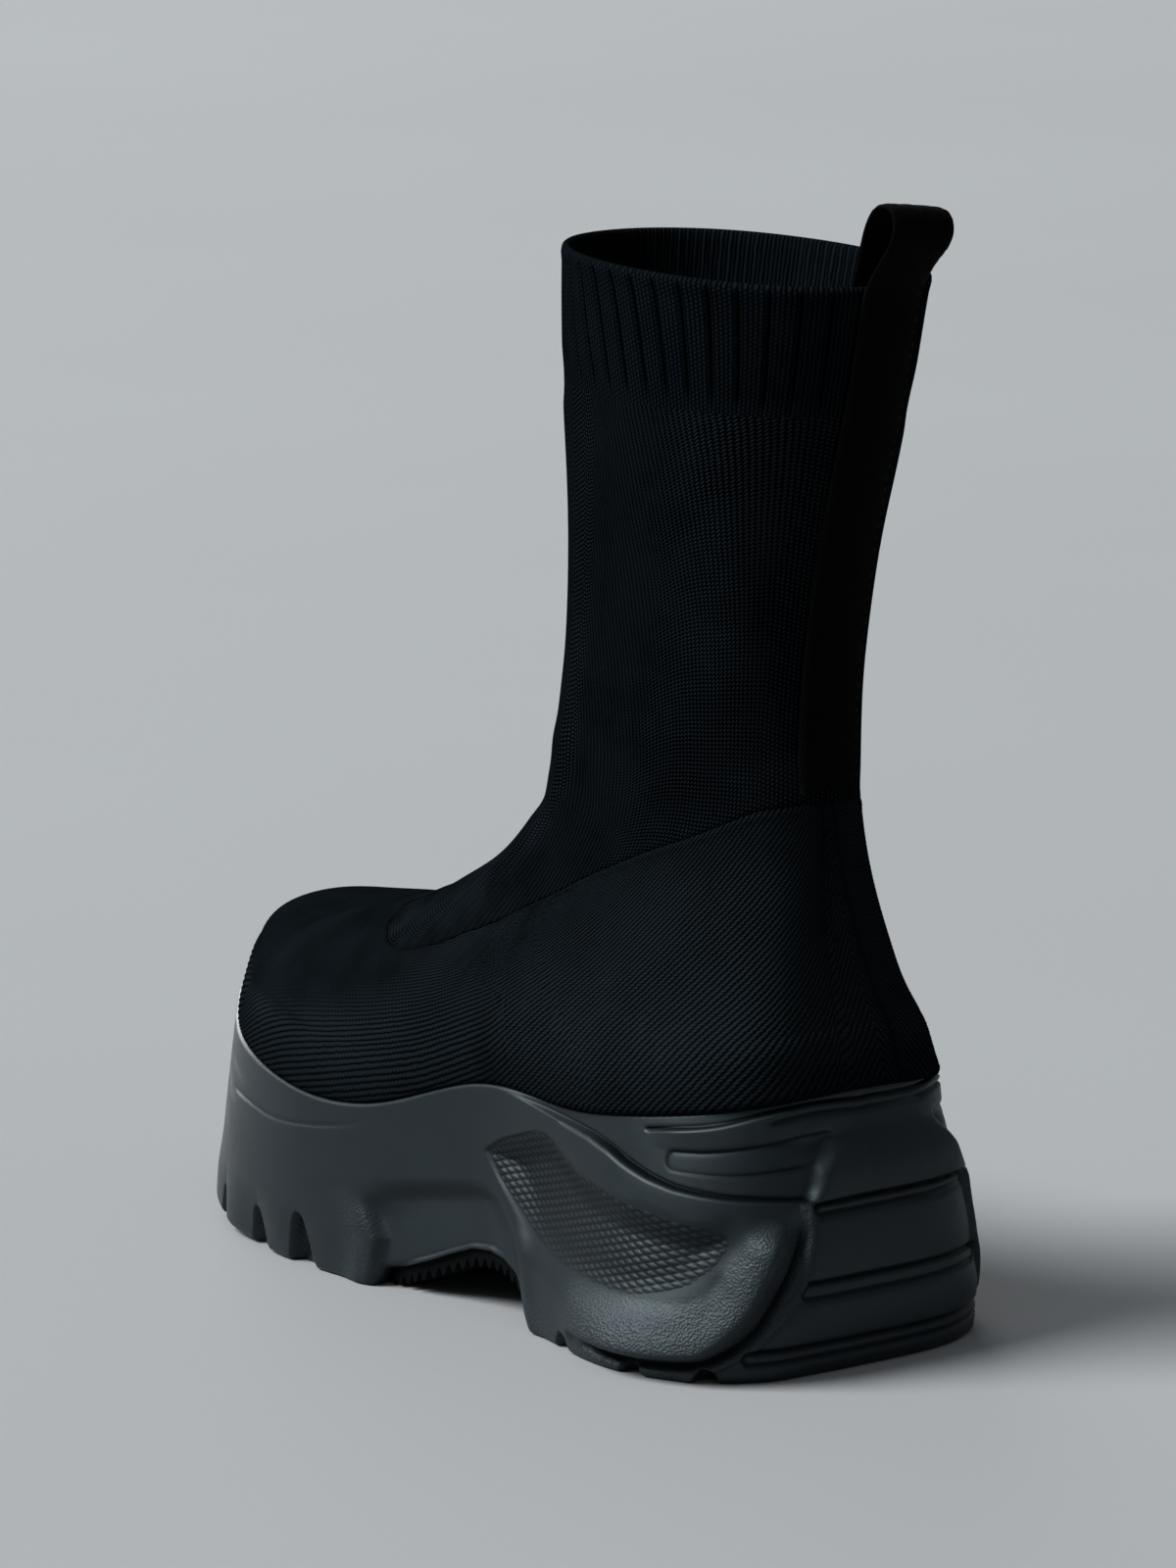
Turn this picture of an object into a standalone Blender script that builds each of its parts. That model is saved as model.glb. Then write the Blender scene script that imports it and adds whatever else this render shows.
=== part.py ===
"""Platform ankle boot, left foot: a knit sock upper on a moulded platform sole.

Built in millimetres in a shoemaker's frame (x forward from the heel's back
edge, y to the lateral side, z up from the floor) and placed in metres with
the middle of the box at x = y = 0 and the sole on z = 0.
"""
import math

import bmesh
import bpy
import numpy as np

MM = 0.001                 # working unit to metres
GAP = 0.3                  # clearance between neighbouring pieces

# ---------------------------------------------------------------- sizes, mm
RIM_THICK = 4.3            # sole rim wall plus clearance to the upper
UPPER_WALL = 2.2           # knit wall
INSOLE_THICK = 4.0
INSOLE_CLEAR = 0.7         # insole edge to the upper's inner wall
POCKET_DEPTH = 5.0         # recess under the sole unit for the tread plate
SKIRT_WIDE = 6.5           # sidewall thickness round the recess
SKIRT_ARCH = 1.8           # the same at the arch, where the plate shows
ARCH_LIP = 0.8             # lip of the sole unit over the plate at the arch
ARCH_PLATE = 4.4           # tread plate thickness at the arch
SLOPE_CLEAR = 1.6          # sideways clearance of the plate at the arch's steep ends
EDGE_ROUND = 1.6           # pulled-in bottom edge of the sidewall
TOE_SPRING = 11.0          # rise of the sole at the toe tip
SPRING_FROM = 168.0        # x where the toe spring begins
TREAD_CUT = 2.6            # depth of the tread's cross grooves
TREAD_CUT_WIDE = 3.4
TREAD_FORE = (141.0, 12.0, 9)    # first groove x, pitch, count
TREAD_HEEL = (19.0, 14.0, 4)
NOTCH_DEEP = 4.6           # notches in the sidewall's bottom edge
NOTCH_NECK = 0.24          # top of a notch as a share of its mouth
LEAN_FORE = 1.25           # bulge of the sidewall's lean: 1 is straight
LEAN_HEEL = 1.9
HEEL_FULL_TO = 70.0        # along each side, where the heel's lean starts to fade
HEEL_GONE_AT = 130.0
TAPE_WIDE = 19.0
TAPE_THICK = 1.6
TAPE_INNER_LEG = 15.0

SOLE_SAMPLES = 64          # steps along each side of the sole
WALL_ROWS = (0.0, .035, .12, .22, .32, .42, .52, .62, .72, .82, .91, 1.0)
UPPER_AROUND = 48
UPPER_UP = 25

# Sole outline, one row for each place round the sole. "base" is the flared
# sidewall near the floor, "rim" the top edge that holds the upper, "tray" the
# floor that the foot's feather edge stands on.
SOLE = (
    # place            base_x base_y  rim_x  rim_y  rim_z tray_z
    ("heel_back",         0.0,   0.0,   6.5,   0.0,  68.5,  57.5),
    ("heel_corner_lat",   8.0,  40.0,  14.5,  33.0,  66.0,  56.0),
    ("heel_lat",         30.0,  53.5,  38.0,  43.0,  62.0,  52.5),
    ("heel_front_lat",   68.0,  49.0,  73.0,  43.5,  58.4,  48.8),
    ("waist_lat",       102.0,  44.0, 104.0,  43.0,  57.6,  45.5),
    ("ball_rear_lat",   133.0,  49.0, 134.0,  47.5,  48.0,  38.2),
    ("ball_lat",        162.0,  51.5, 162.0,  49.5,  45.3,  35.6),
    ("toe_side_lat",    203.0,  43.0, 201.0,  40.3,  50.3,  38.5),
    ("toe_corner_lat",  237.0,  21.0, 232.3,  18.5,  53.0,  42.0),
    ("toe_tip",         262.0, -13.0, 257.5, -13.0,  54.5,  44.0),
    ("toe_corner_med",  248.0, -42.0, 244.5, -39.5,  53.5,  42.5),
    ("toe_side_med",    214.0, -54.0, 213.0, -51.0,  50.5,  39.3),
    ("ball_med",        178.0, -54.0, 178.0, -51.5,  46.5,  36.2),
    ("waist_rear_med",  135.0, -45.0, 136.0, -43.0,  49.0,  38.6),
    ("waist_med",       102.0, -41.0, 104.0, -39.5,  57.6,  45.5),
    ("heel_front_med",   68.0, -46.0,  73.0, -41.5,  58.4,  48.8),
    ("heel_med",         30.0, -52.0,  38.0, -43.0,  62.0,  52.5),
    ("heel_corner_med",   8.0, -40.0,  14.5, -33.0,  66.0,  56.0),
)

# Underside of the arch, along each side from the heel's back centre.
ARCH = (
    # along  lift
    (112.5,  0.0),
    (115.5,  3.0),
    (118.6, 10.0),
    (122.5, 13.0),
    (128.0, 15.3),
    (134.0, 16.1),
    (141.0, 15.4),
    (148.0, 12.8),
    (155.5,  9.7),
    (164.0,  6.6),
    (171.0,  4.8),
    (173.6,  0.0),
)

# Soft forms pushed out of (+) or into (-) the sidewall, along each side.
WALL_FORMS = (
    # form             along   z   long  tall  push
    ("heel_scoop",      78.0, 32.0, 27.0, 10.0, -3.2),
    ("heel_lobe",       70.0, 12.0, 34.0,  7.0,  1.2),
    ("arch_recess",    146.0, 27.0, 17.0,  8.0, -7.0),
    ("arch_foot",      146.0, 12.0, 18.0,  8.0, -3.6),
    ("wing_front",     118.0, 50.0, 26.0,  7.0,  1.4),
    ("wing_back",       66.0, 45.0, 30.0,  4.0,  1.2),
    ("fore_wall",      215.0, 26.0, 45.0, 14.0,  1.0),
)

# Rings of the upper from the feather edge to the collar. A ring runs from its
# back point to its front point; "foot" tells how far it keeps the outline and
# the wavy height of the sole's rim, "rise" its height above that rim.
RINGS = (
    # ring        back_x back_z front_x front_z half  front_y widest full foot  rise
    ("feather",     10.8,  57.0, 253.2,  45.0,  47.0, -13.0,  .66,  2.2, 1.00, -9.0),
    ("rim",         10.8,  69.0, 253.2,  55.0,  47.0, -13.0,  .66,  2.2, 1.00,  0.6),
    ("toe_low",     11.5,  80.0, 250.5,  66.0,  45.5, -13.0,  .64,  2.2, 0.95, 11.5),
    ("toe_mid",     13.5,  92.0, 240.0,  73.5,  42.5, -12.5,  .62,  2.1, 0.76, 19.0),
    ("toe_top",     15.5, 103.0, 221.5,  79.0,  39.5, -11.5,  .58,  2.1, 0.56, 25.0),
    ("vamp_low",    17.2, 113.0, 197.5,  82.5,  37.2,  -9.5,  .54,  2.1, 0.36, 33.0),
    ("vamp",        18.8, 122.0, 173.0,  89.0,  35.2,  -7.0,  .50,  2.1, 0.17, 42.0),
    ("instep",      20.2, 131.0, 150.0,  99.0,  33.6,  -4.5,  .48,  2.1, 0.05, 50.0),
    ("throat",      21.2, 140.0, 130.5, 110.5,  32.3,  -2.0,  .48,  2.1, 0.00, 60.0),
    ("ankle_low",   21.8, 150.0, 116.5, 125.0,  31.6,  -0.5,  .48,  2.1, 0.00, 70.0),
    ("ankle",       21.5, 162.0, 109.0, 145.0,  31.3,   0.0,  .49,  2.1, 0.00, 85.0),
    ("shaft_low",   20.0, 176.0, 105.5, 167.0,  31.4,   0.0,  .50,  2.1, 0.00, 100.0),
    ("shaft_mid",   14.5, 206.0, 105.0, 204.0,  32.7,   0.0,  .50,  2.1, 0.00, 130.0),
    ("rib_line",     7.0, 235.0, 106.2, 236.0,  34.3,   0.0,  .50,  2.1, 0.00, 160.0),
    ("collar",       1.0, 264.0, 106.0, 267.0,  36.8,   0.0,  .50,  2.1, 0.00, 190.0),
)

# Pull loop, seen from the side: steps from the collar's back edge.
LOOP = (
    # place        back   up
    ("outer_foot",  1.1,  0.0),
    ("outer_mid",   6.2,  8.0),
    ("outer_top",  10.2, 15.0),
    ("crown_back",  9.2, 19.0),
    ("crown",       5.4, 20.0),
    ("inner_top",   1.0, 16.4),
    ("inner_mid",  -1.8,  8.0),
    ("inner_foot", -3.5,  0.0),
)

# Wedge notches that part the lugs at the bottom edge, along each side.
NOTCHES = (
    # place        along  wide  tall
    ("heel_rear",   47.0,  4.4,  2.3),
    ("heel_mid",    67.0,  4.6,  2.4),
    ("heel_front",  95.4,  4.4,  2.4),
    ("ball",       202.3,  8.6, 13.8),
    ("toe_side",   223.6,  7.4, 10.4),
    ("toe_corner", 248.7,  5.4,  8.6),
    ("toe_front",  277.0,  5.0,  8.0),
)

# part        colour (linear)            roughness metallic
FINISH = {
    "midsole": ((0.013, 0.014, 0.016), 0.52, 0.0),
    "outsole": ((0.008, 0.008, 0.009), 0.62, 0.0),
    "upper": ((0.007, 0.007, 0.008), 0.92, 0.0),
    "insole": ((0.006, 0.006, 0.006), 0.90, 0.0),
    "heel_tape": ((0.005, 0.005, 0.005), 0.95, 0.0),
}


# ---------------------------------------------------------------- curves
def ring_spline(knots, period, values, at):
    """Closed cubic spline through rows of values."""
    knots = np.asarray(knots, float)
    values = np.asarray(values, float)
    n = len(knots)
    step = np.diff(np.append(knots, knots[0] + period))
    matrix = np.zeros((n, n))
    right = np.zeros((n, values.shape[1]))
    for i in range(n):
        before, after = step[i - 1], step[i]
        matrix[i, (i - 1) % n] += before
        matrix[i, i] += 2 * (before + after)
        matrix[i, (i + 1) % n] += after
        right[i] = 6 * ((values[(i + 1) % n] - values[i]) / after
                        - (values[i] - values[i - 1]) / before)
    bend = np.linalg.solve(matrix, right)
    at = np.mod(np.asarray(at, float) - knots[0], period) + knots[0]
    i = np.clip(np.searchsorted(knots, at, side="right") - 1, 0, n - 1)
    j = (i + 1) % n
    h = step[i][:, None]
    a = (at - knots[i])[:, None]
    b = h - a
    return ((bend[i] * b ** 3 + bend[j] * a ** 3) / (6 * h)
            + (values[i] / h - bend[i] * h / 6) * b
            + (values[j] / h - bend[j] * h / 6) * a)


def open_spline(knots, values, at):
    """Natural cubic spline through rows of values."""
    knots = np.asarray(knots, float)
    values = np.asarray(values, float)
    n = len(knots)
    step = np.diff(knots)
    matrix = np.zeros((n, n))
    right = np.zeros((n, values.shape[1]))
    matrix[0, 0] = matrix[-1, -1] = 1
    for i in range(1, n - 1):
        matrix[i, i - 1:i + 2] = step[i - 1], 2 * (step[i - 1] + step[i]), step[i]
        right[i] = 6 * ((values[i + 1] - values[i]) / step[i]
                        - (values[i] - values[i - 1]) / step[i - 1])
    bend = np.linalg.solve(matrix, right)
    at = np.atleast_1d(np.asarray(at, float))
    i = np.clip(np.searchsorted(knots, at, side="right") - 1, 0, n - 2)
    h = step[i][:, None]
    a = (at - knots[i])[:, None]
    b = h - a
    return ((bend[i] * b ** 3 + bend[i + 1] * a ** 3) / (6 * h)
            + (values[i] / h - bend[i] * h / 6) * b
            + (values[i + 1] / h - bend[i + 1] * h / 6) * a)


# ---------------------------------------------------------------- the sole
SOLE_ROWS = np.array([row[1:] for row in SOLE])
SOLE_STEP = np.linalg.norm(np.roll(SOLE_ROWS[:, :2], -1, 0) - SOLE_ROWS[:, :2], axis=1)
SOLE_KNOTS = np.append(0, np.cumsum(SOLE_STEP))[:-1]
SOLE_ROUND = SOLE_STEP.sum()
TIP_ALONG = SOLE_KNOTS[[row[0] for row in SOLE].index("toe_tip")]


def sole_rows(round_at):
    """base x, base y, rim x, rim y, rim z, tray z at a distance round the sole."""
    return ring_spline(SOLE_KNOTS, SOLE_ROUND, SOLE_ROWS, round_at)


def outward(points):
    """Outward normals of a closed plan outline that runs lateral side first."""
    tangent = np.roll(points, -1, 0) - np.roll(points, 1, 0)
    tangent /= np.linalg.norm(tangent, axis=1)[:, None]
    return np.stack([-tangent[:, 1], tangent[:, 0]], 1)


def inset(points, by):
    by = np.broadcast_to(np.asarray(by, float), (len(points),))
    return points - outward(points) * by[:, None]


def toe_spring(x):
    far = np.clip((np.asarray(x) - SPRING_FROM) / (262.0 - SPRING_FROM), 0, None)
    return TOE_SPRING * far ** 2


def arch_lift(along):
    table = np.array(ARCH)
    return np.interp(along, table[:, 0], table[:, 1], left=0, right=0)


def side_stations():
    """Distances along one side, heel back to toe tip, closer at the arch's ends."""
    even = np.linspace(0, TIP_ALONG, SOLE_SAMPLES + 1)
    wanted = np.array([row[0] for row in ARCH])
    kept = [a for a in even if np.abs(wanted - a).min() > 1.6]
    return np.array(sorted(kept + list(wanted)))


ALONG_SIDE = side_stations()
SIDE_COUNT = len(ALONG_SIDE)                      # heel back ... toe tip
# round the sole: lateral side out, medial side back
ROUND_AT = np.concatenate([
    ALONG_SIDE,
    SOLE_ROUND - (ALONG_SIDE[1:-1] * (SOLE_ROUND - TIP_ALONG) / TIP_ALONG)[::-1]])
ALONG = np.concatenate([ALONG_SIDE, ALONG_SIDE[1:-1][::-1]])
COLUMNS = len(ROUND_AT)
ROWS = sole_rows(ROUND_AT)
BASE, RIM, RIM_Z, TRAY_Z = ROWS[:, :2], ROWS[:, 2:4], ROWS[:, 4], ROWS[:, 5]
GROUND = toe_spring(BASE[:, 0])
LIFT = arch_lift(ALONG)
WALL_BOTTOM = np.maximum(GROUND, LIFT)
CEILING = np.maximum(GROUND + POCKET_DEPTH, LIFT + ARCH_LIP)
AT_ARCH = np.clip((LIFT - 3.0) / 5.0, 0, 1)
SKIRT = SKIRT_WIDE + (SKIRT_ARCH - SKIRT_WIDE) * AT_ARCH
LEAN_POWER = np.interp(ALONG, (HEEL_FULL_TO, HEEL_GONE_AT), (LEAN_HEEL, LEAN_FORE))


def wall_push(along, z):
    push = np.zeros(len(along))
    for _form, at, height, length, tall, out in WALL_FORMS:
        push += out * np.exp(-((along - at) / length) ** 4 - ((z - height) / tall) ** 2)
    return push


def wall_ring(level):
    """One ring of the sidewall; level 0 is the bottom edge and 1 the rim."""
    z = WALL_BOTTOM + (RIM_Z - WALL_BOTTOM) * level
    lean = np.clip(z / RIM_Z, 0, 1) ** LEAN_POWER
    plan = BASE * (1 - lean)[:, None] + RIM * lean[:, None]
    fade = min(1.0, level * 6) * min(1.0, (1 - level) * 7)
    push = wall_push(ALONG, z) * fade
    if level == 0:
        push = push - EDGE_ROUND
    plan = plan + outward(plan) * push[:, None]
    return np.column_stack([plan, z])


def flat_ring(plan, z):
    return np.column_stack([plan, np.broadcast_to(z, (len(plan),))])


def cap_faces(start, flip):
    """Strips from the lateral to the medial side over one ring of the sole."""
    last = SIDE_COUNT - 1
    faces = []
    for k in range(last):
        lat = [start + k, start + k + 1]
        med = [start + (COLUMNS - k) % COLUMNS, start + (COLUMNS - k - 1) % COLUMNS]
        if k == 0:
            face = [lat[0], lat[1], med[1]]
        elif k == last - 1:
            face = [lat[0], lat[1], med[0]]
        else:
            face = [lat[0], lat[1], med[1], med[0]]
        faces.append(face[::-1] if flip else face)
    return faces


def tube_faces(rings, columns):
    faces = []
    for r in range(rings - 1):
        for c in range(columns):
            d = (c + 1) % columns
            faces.append([r * columns + c, r * columns + d,
                          (r + 1) * columns + d, (r + 1) * columns + c])
    return faces


def stacked(rings):
    """A closed body from rings that start and end on a capped ring."""
    points = np.vstack(rings)
    faces = tube_faces(len(rings), COLUMNS)
    faces += cap_faces(0, False)
    faces += cap_faces((len(rings) - 1) * COLUMNS, True)
    return points, faces


def midsole_mesh():
    pocket = inset(BASE, SKIRT)
    tray = inset(RIM, RIM_THICK - GAP)
    rings = [flat_ring(pocket, CEILING),
             flat_ring(pocket, WALL_BOTTOM)]
    rings += [wall_ring(level) for level in WALL_ROWS]
    rings += [flat_ring(tray, RIM_Z), flat_ring(tray, TRAY_Z)]
    return stacked(rings)


def outsole_mesh():
    plan = inset(BASE, SKIRT + GAP)
    near = np.minimum(arch_lift(ALONG - SLOPE_CLEAR), arch_lift(ALONG + SLOPE_CLEAR))
    near = np.minimum(near, LIFT)              # keeps clear of the steep ends
    top = np.maximum(GROUND + POCKET_DEPTH, near + ARCH_LIP) - GAP
    low = np.maximum(GROUND, np.minimum(LIFT + ARCH_LIP - GAP - ARCH_PLATE, top - 2.5))
    return stacked([flat_ring(plan, top), flat_ring(plan, low)][::-1])


def insole_mesh():
    plan = inset(RIM, RIM_THICK + UPPER_WALL + INSOLE_CLEAR)
    return stacked([flat_ring(plan, TRAY_Z + GAP),
                    flat_ring(plan, TRAY_Z + GAP + INSOLE_THICK)])


# ---------------------------------------------------------------- the upper
RING_ROWS = np.array([row[1:] for row in RINGS])
RING_STEP = np.linalg.norm(np.diff(RING_ROWS[:, [1, 2, 3]], axis=0), axis=1)
RING_KNOTS = np.append(0, np.cumsum(RING_STEP)) / RING_STEP.sum()


def feather_sides():
    """Feather line as half turns: angle from the toe, y, rim z and tray z."""
    at = np.linspace(0, SOLE_ROUND, 1600, endpoint=False)
    rows = sole_rows(at)
    plan = inset(rows[:, 2:4], RIM_THICK)
    heel, toe = plan[:, 0].argmin(), plan[:, 0].argmax()
    x0, x1 = plan[heel, 0], plan[toe, 0]
    turn = np.arccos(np.clip(2 * (plan[:, 0] - x0) / (x1 - x0) - 1, -1, 1))
    table = np.column_stack([turn, plan[:, 1], rows[:, 4], rows[:, 5]])
    table = np.roll(table, -heel, 0)
    toe = (toe - heel) % len(table)
    lateral, medial = table[:toe + 1], np.vstack([table[toe:], table[:1]])
    return (x0, x1, lateral[np.argsort(lateral[:, 0])], medial[np.argsort(medial[:, 0])])


FEATHER_X0, FEATHER_X1, FEATHER_LAT, FEATHER_MED = feather_sides()


def upper_ring(turn, height):
    """Points of one ring; turn 0 is the toe side, + lateral; height 0..1."""
    (back_x, back_z, front_x, front_z, half, front_y,
     widest, full, foot, rise) = open_spline(RING_KNOTS, RING_ROWS, height)[0]
    turn = np.mod(turn + math.pi, 2 * math.pi) - math.pi
    along = 0.5 + 0.5 * np.cos(turn)
    away = np.where(along > widest, (along - widest) / (1 - widest), (widest - along) / widest)
    swell = np.clip(1 - away ** full, 0, None) ** (1 / full)
    y_oval = front_y * along ** 2 + np.where(turn >= 0, half, -half) * swell
    z_oval = back_z + (front_z - back_z) * along

    def side(column):
        return np.where(turn >= 0,
                        np.interp(np.abs(turn), FEATHER_LAT[:, 0], FEATHER_LAT[:, column]),
                        np.interp(np.abs(turn), FEATHER_MED[:, 0], FEATHER_MED[:, column]))

    foot = min(max(foot, 0.0), 1.0)
    rim_z, tray_z = side(2), side(3)
    low = np.clip(-rise / 9.0, 0, 1)          # 1 on the feather edge itself
    z_foot = (rim_z + max(rise, 0.0)) * (1 - low) + (tray_z + GAP) * low
    x = back_x + (front_x - back_x) * along
    x_foot = FEATHER_X0 + (FEATHER_X1 - FEATHER_X0) * along
    snug = np.clip((foot - 0.9) / 0.1, 0, 1)   # exact outline inside the tray
    x = x * (1 - snug) + x_foot * snug
    return np.column_stack([x, foot * side(1) + (1 - foot) * y_oval,
                            foot * z_foot + (1 - foot) * z_oval])


def upper_heights(count):
    """Ring heights: the feather and rim rows, then even steps to the collar."""
    rim = RING_KNOTS[1]
    return np.concatenate([[0.0, rim * 0.5, rim], np.linspace(rim, 1.0, count - 2)[1:]])


def grid_normals(grid):
    """Outward normals of a grid of rings (height, turn, xyz)."""
    around = np.roll(grid, -1, 1) - np.roll(grid, 1, 1)
    up = np.gradient(grid, axis=0)
    normal = np.cross(around, up)
    normal /= np.linalg.norm(normal, axis=2)[:, :, None] + 1e-12
    return normal


def upper_grid(turns, heights):
    return np.array([upper_ring(turns, h) for h in heights])


def upper_mesh():
    turns = np.linspace(0, 2 * math.pi, UPPER_AROUND, endpoint=False)
    outer = upper_grid(turns, upper_heights(UPPER_UP))
    inner = outer - grid_normals(outer) * UPPER_WALL
    inner[0, :, 2] = outer[0, :, 2]
    inner[-1, :, 2] = outer[-1, :, 2]
    count, around = outer.shape[:2]
    points = np.vstack([outer.reshape(-1, 3), inner.reshape(-1, 3)])
    skip = count * around
    faces = tube_faces(count, around)
    faces += [[skip + i for i in face[::-1]] for face in tube_faces(count, around)]
    for c in range(around):
        d = (c + 1) % around
        top = (count - 1) * around
        faces.append([d, c, skip + c, skip + d])
        faces.append([top + c, top + d, skip + top + d, skip + top + c])
    return points, faces


# ---------------------------------------------------------------- heel tape
def back_line(y, heights, out):
    """x, z of the upper's back at a given y, pushed out along x."""
    line = []
    turns = np.linspace(math.pi * 0.62, math.pi * 1.38, 61)
    for h in heights:
        ring = upper_ring(turns, h)
        order = np.argsort(ring[:, 1])
        line.append([np.interp(y, ring[order, 1], ring[order, 0]) - out,
                     np.interp(y, ring[order, 1], ring[order, 2])])
    return np.array(line)


def tape_mesh():
    seam = RING_KNOTS[[row[0] for row in RINGS].index("throat")]
    legs = np.linspace(seam, 1.0, 13)
    across = np.linspace(-TAPE_WIDE / 2, TAPE_WIDE / 2, 5)
    loop = np.array([row[1:] for row in LOOP])
    knots = np.append(0, np.cumsum(np.linalg.norm(np.diff(loop, axis=0), axis=1)))
    steps = open_spline(knots, loop, np.linspace(0, knots[-1], 22)[1:-1])
    edge = back_line(0.0, [1.0], 0.0)[0]
    stand = GAP + TAPE_THICK / 2
    sheets = []
    for y in across:
        outer = back_line(y, legs, stand)
        hollow = outer[-1, 0] + stand - edge[0]          # curve of the collar here
        bow = hollow * np.clip(1 - steps[:, 1] / 12.0, 0, 1)
        arch = np.column_stack([edge[0] - steps[:, 0] + bow, edge[1] + steps[:, 1]])
        inside_x = edge[0] + hollow + UPPER_WALL + stand + 0.35
        drop = np.linspace(0, TAPE_INNER_LEG, 4)
        slope = (back_line(y, [0.97], 0)[0] - back_line(y, [1.0], 0)[0])
        inner = np.column_stack([inside_x - drop * slope[0] / slope[1], edge[1] - drop])
        sheets.append(np.vstack([outer[:-1], [[outer[-1, 0], edge[1] - 0.5]], arch, inner]))
    sheets = np.array(sheets)                             # across, path, (x, z)
    path = sheets.shape[1]
    tangent = np.gradient(sheets, axis=1)
    tangent /= np.linalg.norm(tangent, axis=2)[:, :, None]
    normal = np.stack([-tangent[:, :, 1], tangent[:, :, 0]], 2)
    points = []
    for side in (1, -1):
        sheet = sheets + normal * side * TAPE_THICK / 2
        for j, y in enumerate(across):
            points += [(x, y, z) for x, z in sheet[j]]
    wide = len(across)

    def at(side, j, i):
        return (side * wide + j) * path + i

    faces = []
    for j in range(wide - 1):
        for i in range(path - 1):
            faces.append([at(0, j, i), at(0, j + 1, i), at(0, j + 1, i + 1), at(0, j, i + 1)])
            faces.append([at(1, j, i), at(1, j, i + 1), at(1, j + 1, i + 1), at(1, j + 1, i)])
        for i in (0, path - 1):
            quad = [at(0, j, i), at(1, j, i), at(1, j + 1, i), at(0, j + 1, i)]
            faces.append(quad if i == 0 else quad[::-1])
    for i in range(path - 1):
        for j in (0, wide - 1):
            quad = [at(0, j, i), at(0, j, i + 1), at(1, j, i + 1), at(1, j, i)]
            faces.append(quad if j == 0 else quad[::-1])
    return np.array(points), faces


# ---------------------------------------------------------------- cutters
def prism(corners, direction):
    """A prism: a polygon of corners swept along a direction."""
    corners = np.asarray(corners, float)
    n = len(corners)
    points = np.vstack([corners, corners + direction])
    faces = [list(range(n))[::-1], list(range(n, 2 * n))]
    faces += [[i, (i + 1) % n, n + (i + 1) % n, n + i] for i in range(n)]
    return points, faces


def joined(shapes):
    points, faces, skip = [], [], 0
    for shape_points, shape_faces in shapes:
        points.append(shape_points)
        faces += [[skip + i for i in face] for face in shape_faces]
        skip += len(shape_points)
    return np.vstack(points), faces


def notch_cutters():
    """Wedges that part the lugs of the bottom edge, narrow at the top."""
    shapes = []
    for _place, along, wide, tall in NOTCHES:
        for at in (along, SOLE_ROUND - along * (SOLE_ROUND - TIP_ALONG) / TIP_ALONG):
            here = sole_rows([at - 0.5, at, at + 0.5])[:, :2]
            run = (here[2] - here[0]) / np.linalg.norm(here[2] - here[0])
            out = np.array([-run[1], run[0]])
            floor = float(toe_spring(here[1, 0]))
            start = here[1] - out * NOTCH_DEEP
            wedge = []
            for sideways, up in ((-0.5, -2.0), (0.5, -2.0), (0.5, 0.6), (NOTCH_NECK / 2, tall),
                                 (-NOTCH_NECK / 2, tall), (-0.5, 0.6)):
                spot = start + run * sideways * wide
                wedge.append((spot[0], spot[1], floor + up))
            shapes.append(prism(wedge, np.array([out[0], out[1], 0]) * (NOTCH_DEEP + 6)))
    return joined(shapes)


def tread_cutters():
    shapes = []
    for first, pitch, count in (TREAD_FORE, TREAD_HEEL):
        for k in range(count):
            x = first + pitch * k
            top = float(toe_spring(x)) + TREAD_CUT
            a, b = x - TREAD_CUT_WIDE / 2, x + TREAD_CUT_WIDE / 2
            shapes.append(prism([(a, -80, -6), (b, -80, -6), (b, -80, top), (a, -80, top)],
                                np.array([0, 160.0, 0])))
    return joined(shapes)


# ---------------------------------------------------------------- objects
def add_object(name, points, faces, shift):
    mesh = bpy.data.meshes.new(name)
    mesh.from_pydata([tuple((p - shift) * MM) for p in np.asarray(points)], [], faces)
    bm = bmesh.new()
    bm.from_mesh(mesh)
    bmesh.ops.triangulate(bm, faces=[f for f in bm.faces if len(f.verts) > 4])
    bmesh.ops.recalc_face_normals(bm, faces=bm.faces)
    bm.to_mesh(mesh)
    bm.free()
    obj = bpy.data.objects.new(name, mesh)
    bpy.context.scene.collection.objects.link(obj)
    return obj


def add_finish(obj):
    colour, rough, metal = FINISH[obj.name]
    material = bpy.data.materials.new(obj.name)
    material.use_nodes = True
    shader = material.node_tree.nodes["Principled BSDF"]
    shader.inputs["Base Color"].default_value = (*colour, 1)
    shader.inputs["Roughness"].default_value = rough
    shader.inputs["Metallic"].default_value = metal
    obj.data.materials.append(material)
    obj.data.shade_smooth()
    obj.data.set_sharp_from_angle(angle=math.radians(40))


def cut(obj, name, shape, shift):
    cutter = add_object(name, *shape, shift)
    cutter.hide_render = True
    cutter.display_type = "WIRE"
    tool = obj.modifiers.new(name, "BOOLEAN")
    tool.operation = "DIFFERENCE"
    tool.solver = "EXACT"
    tool.object = cutter


def main():
    for obj in list(bpy.data.objects):
        bpy.data.objects.remove(obj, do_unlink=True)
    shapes = {
        "midsole": midsole_mesh(),
        "outsole": outsole_mesh(),
        "upper": upper_mesh(),
        "insole": insole_mesh(),
        "heel_tape": tape_mesh(),
    }
    every = np.vstack([points for points, _faces in shapes.values()])
    low, high = every.min(0), every.max(0)
    shift = np.array([(low[0] + high[0]) / 2, (low[1] + high[1]) / 2, 0.0])
    built = {}
    for name, (points, faces) in shapes.items():
        built[name] = add_object(name, points, faces, shift)
        add_finish(built[name])
    cut(built["midsole"], "toe_notch_cutter", notch_cutters(), shift)
    cut(built["outsole"], "tread_cutter", tread_cutters(), shift)


main()
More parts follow.
